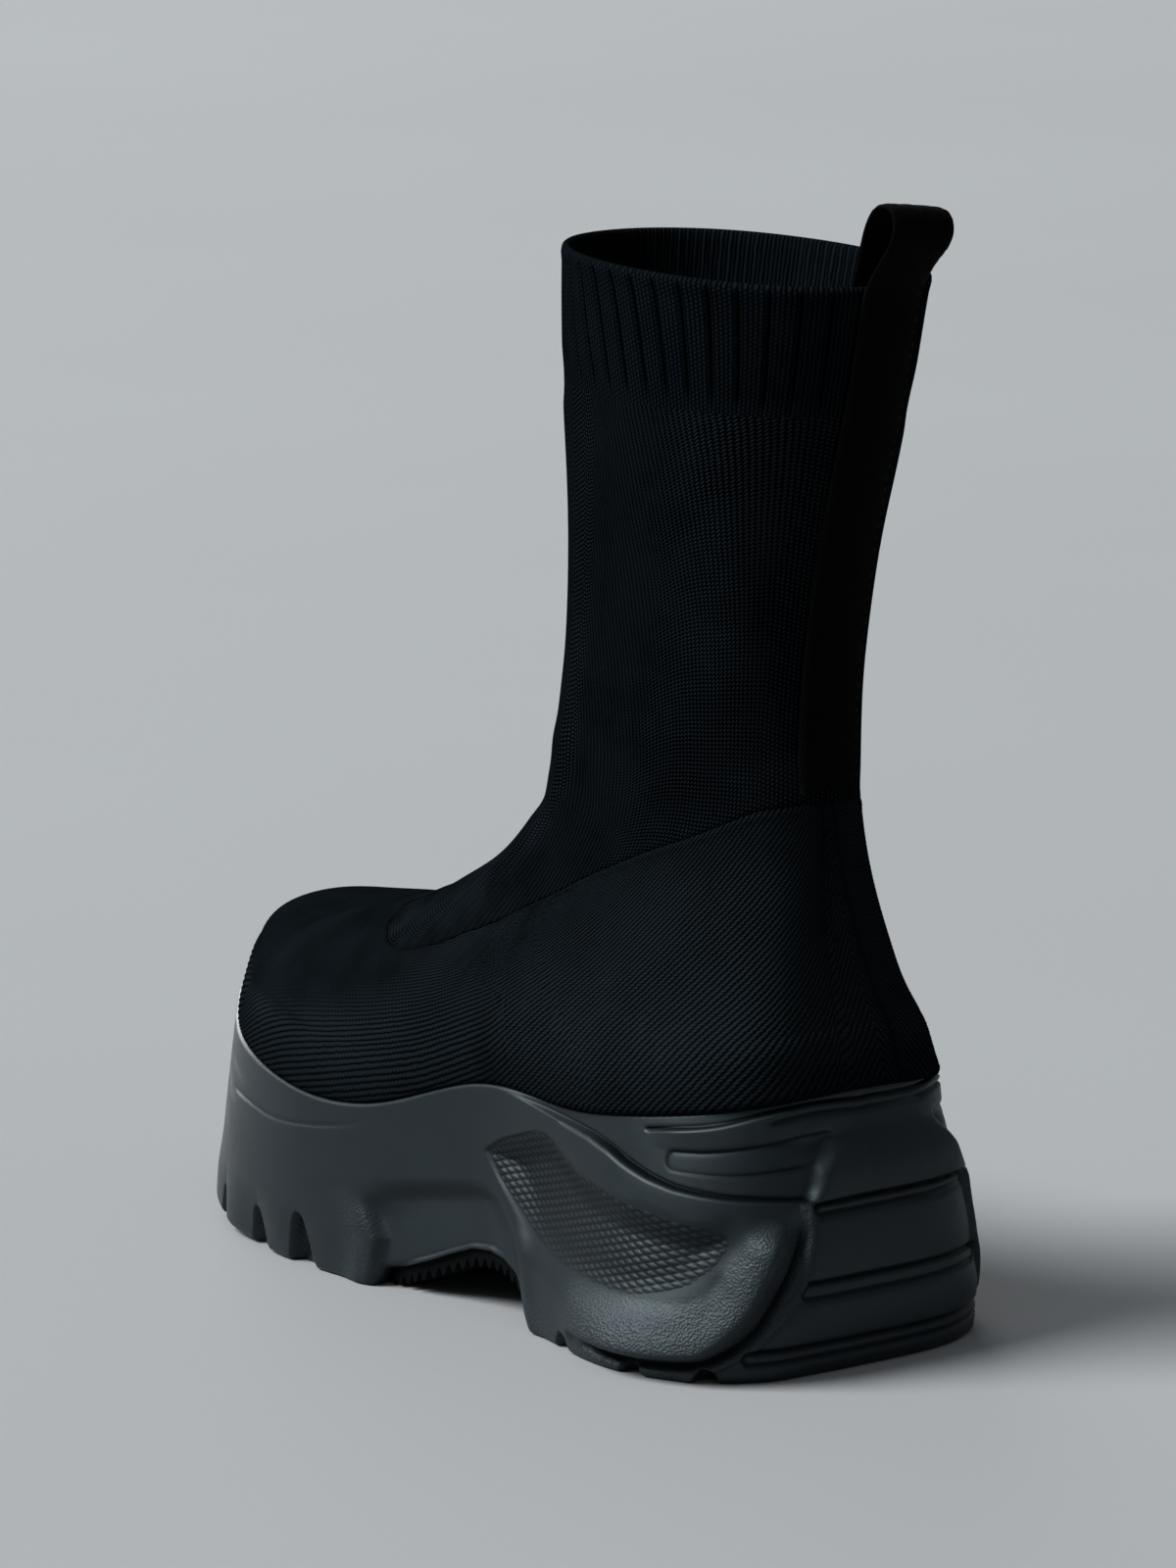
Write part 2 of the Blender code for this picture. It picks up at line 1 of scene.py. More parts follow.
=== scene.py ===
"""Looks of the platform ankle boot (left foot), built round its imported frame.

Lengths are millimetres in the boot's own frame (x forward from the heel's back
edge, y to the lateral side, z up) until a mesh is written, in metres.
"""
import math

import bpy
import numpy as np
from mathutils import Matrix, Vector


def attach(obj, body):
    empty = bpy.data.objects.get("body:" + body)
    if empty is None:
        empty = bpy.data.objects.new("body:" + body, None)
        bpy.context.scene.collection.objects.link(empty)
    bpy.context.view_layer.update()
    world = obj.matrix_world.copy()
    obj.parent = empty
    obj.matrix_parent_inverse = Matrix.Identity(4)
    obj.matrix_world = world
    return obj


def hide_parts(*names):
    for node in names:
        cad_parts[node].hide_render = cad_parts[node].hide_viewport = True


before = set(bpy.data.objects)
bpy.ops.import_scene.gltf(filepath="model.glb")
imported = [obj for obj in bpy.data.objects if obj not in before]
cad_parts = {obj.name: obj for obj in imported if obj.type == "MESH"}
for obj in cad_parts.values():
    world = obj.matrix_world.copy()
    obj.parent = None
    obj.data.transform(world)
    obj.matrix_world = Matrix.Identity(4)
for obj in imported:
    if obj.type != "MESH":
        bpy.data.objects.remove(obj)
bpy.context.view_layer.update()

SHIFT = np.array([125.612793, -0.0581467, 0.0])     # boot frame to the CAD frame, mm

# ---------------------------------------------------------------- sizes shared with the CAD, mm
GAP = 0.3
RIM_THICK = 4.3
UPPER_WALL = 2.2
INSOLE_THICK = 4.0
INSOLE_CLEAR = 0.7
POCKET_DEPTH = 5.0
SKIRT_WIDE = 6.5
SKIRT_ARCH = 1.8
ARCH_LIP = 0.8
ARCH_PLATE = 4.4
SLOPE_CLEAR = 1.6
TOE_SPRING = 11.0
SPRING_FROM = 168.0
LEAN_FORE = 1.25
LEAN_HEEL = 1.9
HEEL_FULL_TO = 70.0
HEEL_GONE_AT = 130.0
TAPE_WIDE = 19.0
TAPE_THICK = 1.6
TAPE_INNER_LEG = 15.0

SOLE = (
    # place            base_x base_y  rim_x  rim_y  rim_z tray_z
    ("heel_back",         0.0,   0.0,   6.5,   0.0,  68.5,  57.5),
    ("heel_corner_lat",   8.0,  40.0,  14.5,  33.0,  66.0,  56.0),
    ("heel_lat",         30.0,  53.5,  38.0,  43.0,  62.0,  52.5),
    ("heel_front_lat",   68.0,  49.0,  73.0,  43.5,  58.4,  48.8),
    ("waist_lat",       102.0,  44.0, 104.0,  43.0,  57.6,  45.5),
    ("ball_rear_lat",   133.0,  49.0, 134.0,  47.5,  48.0,  38.2),
    ("ball_lat",        162.0,  51.5, 162.0,  49.5,  45.3,  35.6),
    ("toe_side_lat",    203.0,  43.0, 201.0,  40.3,  50.3,  38.5),
    ("toe_corner_lat",  237.0,  21.0, 232.3,  18.5,  53.0,  42.0),
    ("toe_tip",         262.0, -13.0, 257.5, -13.0,  54.5,  44.0),
    ("toe_corner_med",  248.0, -42.0, 244.5, -39.5,  53.5,  42.5),
    ("toe_side_med",    214.0, -54.0, 213.0, -51.0,  50.5,  39.3),
    ("ball_med",        178.0, -54.0, 178.0, -51.5,  46.5,  36.2),
    ("waist_rear_med",  135.0, -45.0, 136.0, -43.0,  49.0,  38.6),
    ("waist_med",       102.0, -41.0, 104.0, -39.5,  57.6,  45.5),
    ("heel_front_med",   68.0, -46.0,  73.0, -41.5,  58.4,  48.8),
    ("heel_med",         30.0, -52.0,  38.0, -43.0,  62.0,  52.5),
    ("heel_corner_med",   8.0, -40.0,  14.5, -33.0,  66.0,  56.0),
)

ARCH = (
    # along  lift
    (112.5,  0.0), (115.5,  3.0), (118.6, 10.0), (122.5, 13.0), (128.0, 15.3), (134.0, 16.1),
    (141.0, 15.4), (148.0, 12.8), (155.5,  9.7), (164.0,  6.6), (171.0,  4.8), (173.6,  0.0),
)

RINGS = (
    # ring        back_x back_z front_x front_z half  front_y widest full foot  rise
    ("feather",     10.8,  57.0, 253.2,  45.0,  47.0, -13.0,  .66,  2.2, 1.00, -9.0),
    ("rim",         10.8,  69.0, 253.2,  55.0,  47.0, -13.0,  .66,  2.2, 1.00,  0.6),
    ("toe_low",     11.5,  80.0, 250.5,  66.0,  45.5, -13.0,  .64,  2.2, 0.95, 11.5),
    ("toe_mid",     13.5,  92.0, 240.0,  73.5,  42.5, -12.5,  .62,  2.1, 0.76, 19.0),
    ("toe_top",     15.5, 103.0, 221.5,  79.0,  39.5, -11.5,  .58,  2.1, 0.56, 25.0),
    ("vamp_low",    17.2, 113.0, 197.5,  82.5,  37.2,  -9.5,  .54,  2.1, 0.36, 33.0),
    ("vamp",        18.8, 122.0, 173.0,  89.0,  35.2,  -7.0,  .50,  2.1, 0.17, 42.0),
    ("instep",      20.2, 131.0, 150.0,  99.0,  33.6,  -4.5,  .48,  2.1, 0.05, 50.0),
    ("throat",      21.2, 140.0, 130.5, 110.5,  32.3,  -2.0,  .48,  2.1, 0.00, 60.0),
    ("ankle_low",   21.8, 150.0, 116.5, 125.0,  31.6,  -0.5,  .48,  2.1, 0.00, 70.0),
    ("ankle",       21.5, 162.0, 109.0, 145.0,  31.3,   0.0,  .49,  2.1, 0.00, 85.0),
    ("shaft_low",   20.0, 176.0, 105.5, 167.0,  31.4,   0.0,  .50,  2.1, 0.00, 100.0),
    ("shaft_mid",   14.5, 206.0, 105.0, 204.0,  32.7,   0.0,  .50,  2.1, 0.00, 130.0),
    ("rib_line",     7.0, 235.0, 106.2, 236.0,  34.3,   0.0,  .50,  2.1, 0.00, 160.0),
    ("collar",       1.0, 264.0, 106.0, 267.0,  36.8,   0.0,  .50,  2.1, 0.00, 190.0),
)

LOOP = (
    # place        back   up
    ("outer_foot",  1.1,  0.0),
    ("outer_mid",   6.2,  8.0),
    ("outer_top",  10.2, 15.0),
    ("crown_back",  9.2, 19.0),
    ("crown",       5.4, 20.0),
    ("inner_top",   1.0, 16.4),
    ("inner_mid",  -1.8,  8.0),
    ("inner_foot", -3.5,  0.0),
)

# Wedge notches of the bottom edge, along each side.
NOTCHES = (
    # place        along  wide  tall  deep
    ("heel_rear",   47.0,  5.0,  4.0, 4.6),
    ("heel_mid",    67.0,  5.2,  4.2, 4.6),
    ("heel_front",  95.4,  5.2,  4.4, 4.6),
    ("ball",       202.3,  8.6, 13.8, 4.4),
    ("toe_side",   223.6,  7.4, 10.4, 4.2),
    ("toe_corner", 248.7,  5.4,  8.6, 4.0),
    ("toe_front",  277.0,  5.0,  8.0, 3.8),
)

# ---------------------------------------------------------------- lines drawn on the sole's sidewall
# Each is a run of (along from the heel's back centre, height), the same on both sides.
WING = ((138.5, 57.0), (130.8, 58.0), (119.9, 57.2), (107.6, 55.9), (94.7, 54.5), (86.3, 53.7),
        (78.0, 51.9), (72.8, 50.1), (64.4, 47.7), (56.7, 46.1), (49.6, 45.3), (43.2, 44.8),
        (35.4, 44.4), (19.3, 43.4), (14.8, 43.2), (0.0, 42.6))
CUP_LINE = ((66.4, 58.5), (58.0, 59.9), (50.9, 61.0), (43.8, 62.4), (36.1, 64.2), (27.7, 65.5),
            (18.7, 66.2), (0.0, 65.6))
CUP_LINE_LOW = ((33.0, 62.3), (27.7, 63.2), (18.7, 63.9), (0.0, 63.3))
SLOT_TOP = ((58.6, 54.6), (50.3, 55.1), (36.0, 57.0), (18.7, 58.7), (6.0, 58.3), (0.0, 58.2))
SLOT_LOW = ((58.0, 50.3), (50.3, 50.2), (43.2, 50.3), (27.7, 51.2), (14.2, 52.0), (0.0, 52.6))
BEAD = ((5.6, 58.0), (7.7, 56.7), (12.2, 53.6), (15.5, 50.2), (16.8, 46.3), (18.7, 43.3),
        (18.9, 39.0), (18.7, 34.8), (20.0, 28.7), (21.0, 24.1), (24.4, 19.8), (27.0, 15.0), (34.8, 8.4), (47.7, 2.0))
BULGE_GROOVE = ((21.9, 38.6), (21.9, 36.7), (23.2, 32.1), (25.8, 26.1), (29.6, 20.1), (32.9, 15.0),
                (38.0, 10.4), (43.2, 7.3), (47.7, 5.3), (54.1, 4.2), (68.3, 3.6), (78.0, 4.0), (88.0, 4.4))
BULGE_CREST = ((28.6, 37.8), (30.6, 33.0), (35.4, 26.5), (40.4, 20.8), (46.4, 16.2), (52.0, 13.8),
               (58.0, 12.4), (72.0, 11.5), (90.0, 12.5))
SCOOP = ((134.7, 41.9), (128.2, 45.6), (119.2, 48.7), (112.1, 50.6), (107.0, 50.8), (94.1, 46.1),
         (82.5, 43.7), (72.2, 41.9), (63.8, 41.0), (56.7, 39.7), (49.6, 38.8), (44.5, 38.5),
         (40.6, 37.1), (40.0, 34.9), (41.2, 31.2), (43.8, 28.0), (52.2, 21.4), (61.9, 18.4),
         (69.6, 17.5), (85.1, 17.8), (105.7, 19.3), (113.4, 22.1), (125.0, 31.3), (133.4, 40.1))
LOBE_EDGE = ((0.0, 114.6), (2.3, 115.3), (10.8, 117.9), (23.0, 121.8), (34.6, 130.8), (42.0, 139.0))
LUG_EDGE = ((0.0, 174.6), (4.0, 173.3), (12.7, 171.4), (20.4, 175.9), (24.0, 177.5))
FORE_GROOVE = ((252.0, 37.7), (230.7, 37.2), (217.8, 36.4), (204.3, 37.0), (187.5, 39.4),
               (177.9, 42.0), (173.3, 44.5))
FORE_CREASES = (
    # from (along, z)   to (along, z)   wide  deep
    ((272.0, 40.5), (246.0, 35.2), 1.6, .45),
    ((276.0, 36.0), (252.0, 26.5), 2.0, .55),
    ((262.0, 45.0), (238.0, 42.0), 1.3, .30),
)
HEEL_OFFSET = 20.0           # the back's middle lies half this far to the medial side
BACK_PAIRS = ((42.6, 39.9), (23.3, 19.5), (7.8, 4.7))      # groove pairs across the heel's back

# The seam between shaft and vamp, drawn from the toe side to the back.
SEAM = (
    # turn  height
    (0.0, .372), (20.0, .366), (36.0, .346), (45.0, .318), (52.0, .284), (57.0, .262), (62.0, .2505),
    (65.0, .2425), (69.0, .235),
    (72.5, .2335), (76.0, .245), (79.0, .26), (82.0, .2795), (87.0, .2985), (91.0, .318), (96.0, .3355),
    (99.0, .3445), (102.5, .3605), (107.0, .375), (113.5, .39), (118.5, .40), (124.0, .4075),
    (131.5, .415), (137.0, .4225), (143.0, .43), (151.5, .44), (180.0, .44),
)

# Soft folds of the knit: centre (turn, height), run's half length and half width
# in mm, the run's angle from level in degrees, and how far it stands out.
FOLDS = (
    # fold           turn  height  long  wide  angle  out
    ("shaft_ridge",  134.0, .745,  30.0,  8.0,  80.0,  0.9),
    ("shaft_hollow", 112.0, .700,  26.0,  9.0,  40.0, -0.8),
    ("ankle_crease",  72.0, .560,  16.0,  4.0,  72.0, -0.9),
    ("ankle_roll",    86.0, .530,  20.0,  6.0,  50.0,  0.8),
    ("ankle_front",   30.0, .520,  22.0,  5.0,   8.0, -0.9),
    ("ankle_front2",  24.0, .575,  20.0,  5.0,   4.0,  0.6),
    ("instep_ridge",  49.5, .272,  15.0,  2.6, 130.0,  1.5),
    ("instep_dip",    57.0, .296,  15.0,  3.6, 128.0, -0.7),
    ("toe_dome",       4.0, .165,  24.0, 13.0,   0.0,  2.2),
    ("toe_valley",    -6.0, .246,  26.0,  9.0,   0.0, -2.6),
    ("heel_hollow",  146.0, .330,  22.0, 10.0,  75.0, -0.9),
    ("shaft_hollow2", 60.0, .780,  32.0, 10.0,  84.0, -0.6),
    ("shaft_medial", -95.0, .690,  30.0,  9.0,  62.0, -0.8),
    ("ankle_medial", -80.0, .545,  18.0,  5.0, -60.0, -0.8),
    ("instep_medial", -49.5, .272, 15.0,  2.8, 50.0,  1.3),
    ("back_roll",    168.0, .480,  14.0,  5.0,   6.0,  0.5),
)

RIB_FROM = 0.882            # height where the rib collar starts
RIDGE_PITCH = 1.63          # knit ridges of the vamp
RIDGE_MITRE = (102.0, 75.0)  # a spot on the line where the vamp's ridges bend, x and z
RIDGE_TURN = (143.2, 137.7)  # behind that line they fan round this spot
RIDGE_TOE = math.radians(76.5)
RIDGE_FORE = math.radians(65.5)
RIDGE_BEND = math.radians(43.0)
RIDGE_HEEL = math.radians(40.0)
WALE = 1.3                  # knit columns of the shaft
COURSE = 1.1               # knit rows of the shaft
RIB = 6.4                   # broad ribs of the collar
KNIT_LEAN = 0.30            # how far the shaft's knit columns lean forward going up


# ---------------------------------------------------------------- curves
def ring_spline(knots, period, values, at):
    """Closed cubic spline through rows of values."""
    knots = np.asarray(knots, float)
    values = np.asarray(values, float)
    n = len(knots)
    step = np.diff(np.append(knots, knots[0] + period))
    matrix = np.zeros((n, n))
    right = np.zeros((n, values.shape[1]))
    for i in range(n):
        before, after = step[i - 1], step[i]
        matrix[i, (i - 1) % n] += before
        matrix[i, i] += 2 * (before + after)
        matrix[i, (i + 1) % n] += after
        right[i] = 6 * ((values[(i + 1) % n] - values[i]) / after
                        - (values[i] - values[i - 1]) / before)
    bend = np.linalg.solve(matrix, right)
    at = np.mod(np.asarray(at, float) - knots[0], period) + knots[0]
    i = np.clip(np.searchsorted(knots, at, side="right") - 1, 0, n - 1)
    j = (i + 1) % n
    h = step[i][:, None]
    a = (at - knots[i])[:, None]
    b = h - a
    return ((bend[i] * b ** 3 + bend[j] * a ** 3) / (6 * h)
            + (values[i] / h - bend[i] * h / 6) * b
            + (values[j] / h - bend[j] * h / 6) * a)


def open_spline(knots, values, at):
    """Natural cubic spline through rows of values."""
    knots = np.asarray(knots, float)
    values = np.asarray(values, float)
    n = len(knots)
    step = np.diff(knots)
    matrix = np.zeros((n, n))
    right = np.zeros((n, values.shape[1]))
    matrix[0, 0] = matrix[-1, -1] = 1
    for i in range(1, n - 1):
        matrix[i, i - 1:i + 2] = step[i - 1], 2 * (step[i - 1] + step[i]), step[i]
        right[i] = 6 * ((values[i + 1] - values[i]) / step[i]
                        - (values[i] - values[i - 1]) / step[i - 1])
    bend = np.linalg.solve(matrix, right)
    at = np.atleast_1d(np.asarray(at, float))
    i = np.clip(np.searchsorted(knots, at, side="right") - 1, 0, n - 2)
    h = step[i][:, None]
    a = (at - knots[i])[:, None]
    b = h - a
    return ((bend[i] * b ** 3 + bend[i + 1] * a ** 3) / (6 * h)
            + (values[i] / h - bend[i] * h / 6) * b
            + (values[i + 1] / h - bend[i + 1] * h / 6) * a)


def ramp(low, high, x):
    """0 below low, 1 above high, smooth between."""
    t = np.clip((x - low) / (high - low), 0, 1)
    return t * t * (3 - 2 * t)


def bell(d, width):
    return np.exp(-(d / width) ** 2)


def read(line, at):
    """A drawn line as a function of its first column."""
    line = np.array(sorted(line))
    return np.interp(at, line[:, 0], line[:, 1])


def drawn(line, steps=40):
    """A drawn line as a smooth run of points."""
    line = np.asarray(line, float)
    knots = np.append(0, np.cumsum(np.linalg.norm(np.diff(line, axis=0), axis=1)))
    return open_spline(knots, line, np.linspace(0, knots[-1], steps))


def distance(x, z, line):
    """Distance to a run of points, and how far along it (0..1) the nearest spot is."""
    best = np.full(x.shape, 1e9)
    where = np.zeros(x.shape)
    lengths = np.linalg.norm(np.diff(line, axis=0), axis=1)
    start = np.append(0, np.cumsum(lengths))
    for k in range(len(line) - 1):
        a, run = line[k], line[k + 1] - line[k]
        t = np.clip(((x - a[0]) * run[0] + (z - a[1]) * run[1]) / (run @ run), 0, 1)
        d = np.hypot(x - a[0] - t * run[0], z - a[1] - t * run[1])
        near = d < best
        best = np.where(near, d, best)
        where = np.where(near, (start[k] + t * lengths[k]) / start[-1], where)
    return best, where


def depth_inside(x, z, polygon):
    """Distance to a closed outline, positive inside it."""
    ring = np.vstack([polygon, polygon[:1]])
    d, _where = distance(x, z, ring)
    inside = np.zeros(x.shape, bool)
    for a, b in zip(ring[:-1], ring[1:]):
        crosses = (a[1] > z) != (b[1] > z)
        edge = a[0] + (z - a[1]) * (b[0] - a[0]) / (b[1] - a[1] + 1e-12)
        inside ^= crosses & (x < edge)
    return np.where(inside, d, -d)


# ---------------------------------------------------------------- meshes
def make_mesh(name, points, quads, tris=(), data=None, smooth_angle=None):
    """A mesh object from points in mm and index rows; data holds point attributes."""
    points = (np.asarray(points, float) - SHIFT) * 0.001
    quads = np.asarray(quads, np.int32).reshape(-1, 4)
    tris = np.asarray(tris, np.int32).reshape(-1, 3)
    mesh = bpy.data.meshes.new(name)
    mesh.vertices.add(len(points))
    mesh.vertices.foreach_set("co", points.astype(np.float32).ravel())
    corners = np.concatenate([quads.ravel(), tris.ravel()]).astype(np.int32)
    starts = np.concatenate([np.arange(len(quads)) * 4,
                             len(quads) * 4 + np.arange(len(tris)) * 3]).astype(np.int32)
    mesh.loops.add(len(corners))
    mesh.loops.foreach_set("vertex_index", corners)
    mesh.polygons.add(len(starts))
    mesh.polygons.foreach_set("loop_start", starts)
    mesh.update(calc_edges=True)
    mesh.validate()
    for key, values in (data or {}).items():
        layer = mesh.attributes.new(key, "FLOAT", "POINT")
        layer.data.foreach_set("value", np.asarray(values, np.float32).ravel())
    mesh.shade_smooth()
    if smooth_angle:
        mesh.set_sharp_from_angle(angle=math.radians(smooth_angle))
    obj = bpy.data.objects.new(name, mesh)
    bpy.context.scene.collection.objects.link(obj)
    return obj


def tube_quads(rows, columns, closed_rows=False, closed_columns=True):
    r = np.arange(rows if closed_rows else rows - 1)
    c = np.arange(columns if closed_columns else columns - 1)
    r, c = np.meshgrid(r, c, indexing="ij")
    r1, c1 = (r + 1) % rows, (c + 1) % columns
    return np.stack([r * columns + c, r * columns + c1, r1 * columns + c1, r1 * columns + c],
                    -1).reshape(-1, 4)


def normals_of(grid, closed=True):
    """Outward normals of a grid (rows up, columns round, xyz)."""
    if closed:
        around = np.roll(grid, -1, 1) - np.roll(grid, 1, 1)
    else:
        around = np.gradient(grid, axis=1)
    up = np.gradient(grid, axis=0)
    normal = np.cross(around, up)
    return normal / (np.linalg.norm(normal, axis=2)[:, :, None] + 1e-12)


def wave_noise(points, size, seed, octaves=3):
    """Smooth repeatable noise, about -1..1, from a sum of slanted waves."""
    rng = np.random.default_rng(seed)
    total = np.zeros(points.shape[:-1])
    weight = 0.0
    for octave in range(octaves):
        for _ in range(5):
            direction = rng.normal(size=3)
            direction /= np.linalg.norm(direction)
            phase = rng.uniform(0, 2 * math.pi)
            strength = 0.6 ** octave
            total += strength * np.sin(points @ direction * (2 * math.pi / size * 1.9 ** octave) + phase)
            weight += strength * 0.5
    return total / weight


# ---------------------------------------------------------------- the sole's shape
SOLE_ROWS = np.array([row[1:] for row in SOLE])
SOLE_STEP = np.linalg.norm(np.roll(SOLE_ROWS[:, :2], -1, 0) - SOLE_ROWS[:, :2], axis=1)
SOLE_KNOTS = np.append(0, np.cumsum(SOLE_STEP))[:-1]
SOLE_ROUND = SOLE_STEP.sum()
TIP_ALONG = SOLE_KNOTS[[row[0] for row in SOLE].index("toe_tip")]
MEDIAL_SCALE = (SOLE_ROUND - TIP_ALONG) / TIP_ALONG


def sole_rows(round_at):
    return ring_spline(SOLE_KNOTS, SOLE_ROUND, SOLE_ROWS, round_at)


def outward(points):
    tangent = np.roll(points, -1, 0) - np.roll(points, 1, 0)
    tangent /= np.linalg.norm(tangent, axis=1)[:, None]
    return np.stack([-tangent[:, 1], tangent[:, 0]], 1)


def inset(points, by):
    by = np.broadcast_to(np.asarray(by, float), (len(points),))
    return points - outward(points) * by[:, None]


def toe_spring(x):
    far = np.clip((np.asarray(x) - SPRING_FROM) / (262.0 - SPRING_FROM), 0, None)
    return TOE_SPRING * far ** 2


def arch_lift(along):
    rows = np.array(ARCH)
    return np.interp(along, rows[:, 0], rows[:, 1], left=0, right=0)


def lean_power(along):
    return np.interp(along, (HEEL_FULL_TO, HEEL_GONE_AT), (LEAN_HEEL, LEAN_FORE))


LINE_CUP = drawn(CUP_LINE)
LINE_CUP_LOW = drawn(CUP_LINE_LOW)
LINE_FIN = drawn(BEAD[:6], 40)
LINE_STRIP = drawn(BEAD[5:], 50)
LINE_BULGE_GROOVE = drawn(BULGE_GROOVE, 60)
LINE_BULGE = drawn(BULGE_CREST, 50)
LINE_FORE = drawn(FORE_GROOVE)
SCOOP_RING = drawn(SCOOP + SCOOP[:1], 120)[:-1]
SLOT_END = [(57.8 + 2.2 * math.cos(a), 52.4 + 2.2 * math.sin(a)) for a in np.linspace(1.3, -1.3, 9)]
SLOT_RING = np.array(SLOT_END
                     + [(48.0, 50.2), (43.2, 50.3), (35.0, 50.7), (27.7, 51.2), (20.0, 51.6), (16.4, 51.9),
                        (14.0, 54.0), (10.4, 56.6), (6.0, 57.9), (1.6, 58.4),
                        (6.0, 58.7), (12.0, 58.9), (18.7, 58.7), (27.0, 57.9), (36.0, 57.0), (43.0, 56.0), (50.3, 55.1)])


def scoop_depth(along, z):
    return depth_inside(along, z, SCOOP_RING)


def heel_spot(along, medial):
    """Where a spot falls on the drawn lines: the heel's middle lies a little medial."""
    moved = along - HEEL_OFFSET * (1 - ramp(34, 122, along)) * ramp(0, HEEL_OFFSET, along)
    return np.where(medial, np.maximum(moved, 0), along)


def sculpt(along, medial, z, bottom, rim):
    """How far the sidewall stands out at a spot, where its skin is grained, and where shade is painted dark along its
    grooves.
    """
    s = heel_spot(along, medial)
    out = np.zeros(s.shape)
    wing = read(WING, s)
    bead_at = read([(b, a) for a, b in BEAD], z)
    forward = 1 - ramp(-1.2, 0.6, bead_at - s)
    behind = ramp(0.2, 2.0, bead_at - s)                # 1 on the heel's back, past the bead

    # the wing's thick edge, with the heel cup set in above it
    fade = 1 - ramp(92, 133, s)
    above = ramp(-0.25, 0.75, z - wing)
    out -= 1.55 * above * fade * forward
    under_rim = np.clip((z - wing) / np.maximum(rim - wing, 2), 0, 1)
    out -= 0.9 * (1 - under_rim) * above * fade * ramp(54, 70, s)
    out -= 1.55 * ramp(45.0, 61.0, z) * (1 - forward)
    out += 0.12 * bell(z - wing + 2.2, 2.6) * forward * (1 - ramp(112, 138, s))
    out -= 0.7 * bell(z - wing - 0.35, 0.5) * forward * (1 - ramp(84, 112, s))
    # line gathers painted shade: dark colour along the moulded grooves, where their shadow falls
    line = bell(z - wing - 0.3, 0.75) * forward * (1 - ramp(76, 100, s))

    # lines and slot moulded into the heel cup
    d, t = distance(s, z, LINE_CUP)
    out -= 1.1 * bell(d, 0.42)
    line = np.maximum(line, bell(d, 0.48))
    d, t = distance(s, z, LINE_CUP_LOW)
    out -= 0.8 * bell(d, 0.42) * ramp(0, .12, t)
    line = np.maximum(line, .8 * bell(d, 0.5) * ramp(0, .12, t))
    cup_z, slot_z = read(CUP_LINE, s), read(SLOT_TOP, s)
    cove = np.clip((z - slot_z) / np.maximum(cup_z - slot_z, 1), 0, 1)
    out += 1.5 * cove * (1 - ramp(-.2, .5, z - cup_z)) * (1 - ramp(56, 66, s)) * ramp(14, 28, s)
    slot = depth_inside(s, z, SLOT_RING)
    out -= (0.28 + 1.9 * (1 - ramp(6, 30, s)) * ramp(53, 57, z)) * ramp(-0.15, 0.75, slot) * ramp(8, 13, s)
    out -= 0.6 * bell(slot, 0.42) * (.4 + .6 * ramp(53, 55, z)) * ramp(8, 13, s)
    line = np.maximum(line, .9 * bell(slot, 0.5) * ramp(15, 24, s))

    # the heel's back stands proud of the cup: a bright facet up its corner,
    # and below that a raised strip going on down
    fin, t_fin = distance(s, z, LINE_FIN)
    fin = np.where(s >= bead_at, fin, -fin)
    crest = np.where(fin >= 0, 1 - ramp(0.0, 2.2, fin), 1 - .7 * ramp(.5, 15.0, -fin))
    reach = np.clip(-fin / 6.0, 0, 1)
    out += 1.7 * crest * (1 - ramp(51.5 - 7 * reach, 58.0 + 7 * reach, z)) * ramp(42.4, 43.6, z)
    groove, t_groove = distance(s, z, LINE_BULGE_GROOVE)
    groove_at = read([(b, a) for a, b in BULGE_GROOVE[:10]], z)
    strip, _t = distance(s, z, LINE_STRIP)
    strip = np.where(s >= bead_at, strip, -strip)
    past = np.where(s >= groove_at, groove, 0)
    out += 1.25 * ramp(-0.7, 0.5, strip) * (1 - ramp(0, 5, past)) * (1 - ramp(42.0, 43.4, z)) * (1 - ramp(44, 60, s))

    out += np.where(medial, .5, 1.3) * bell(strip - 1.1, 1.0) * (1 - ramp(40.0, 43.0, z)) * ramp(11, 21, z)

    # rounded bars across the heel's back, each between two grooves
    for high, low in BACK_PAIRS:
        middle, half = (high + low) / 2, (high - low) / 2
        stop = float(read([(b, a) for a, b in BEAD], np.array([middle]))[0]) - 1.5 - half
        bar = np.hypot(np.clip(s - stop, 0, None), z - middle) - half
        out -= np.where(z > middle, 1.5, 1.1) * bell(bar, np.where(z > middle, .48, .42))
        line = np.maximum(line, np.where(z > middle, 1.0, .7) * bell(bar, np.where(z > middle, .58, .5)))
        out -= 0.15 * (1 - ramp(-.5, .3, bar))
    for low, high in ((8.3, 19.0), (23.8, 39.4), (43.1, 57.5)):
        t = np.clip((z - low) / (high - low), 0, 1)
        out += 0.5 * np.sin(math.pi * t) ** .7 * behind

    # grained bulge round the heel's lower corner
    strength = ramp(0, .06, t_groove) * (1 - ramp(.86, 1, t_groove))
    out -= 2.4 * bell(groove, 0.9) * strength
    line = np.maximum(line, bell(groove, 0.75) * strength)
    # painted shade: a dark gradient down the bulge's flank beside its groove
    line = np.maximum(line, .5 * (1 - ramp(0.5, 7.0, groove)) * np.where(s >= groove_at, 1.0, 0.0) * (1 - ramp(34, 46, s)) * (1 - ramp(36, 40, z)) * ramp(7, 13, z))
    bulge, t_bulge = distance(s, z, LINE_BULGE)
    turn_in = np.interp(s, (30, 47), (8.5, 3.6))
    roll = ramp(0.0, turn_in, groove) * (1 - ramp(turn_in - .8, turn_in + 12.0, groove)) * np.where(s >= groove_at - 1, 1.0, 0.0)
    roll = roll * np.where(medial, .25, 1.0)
    out += np.interp(s, (32, 46), (5.4, 4.6)) * roll * (1 - ramp(32, 41, z)) * (1 - ramp(70, 104, s)) * ramp(2.5, 7.0, z)

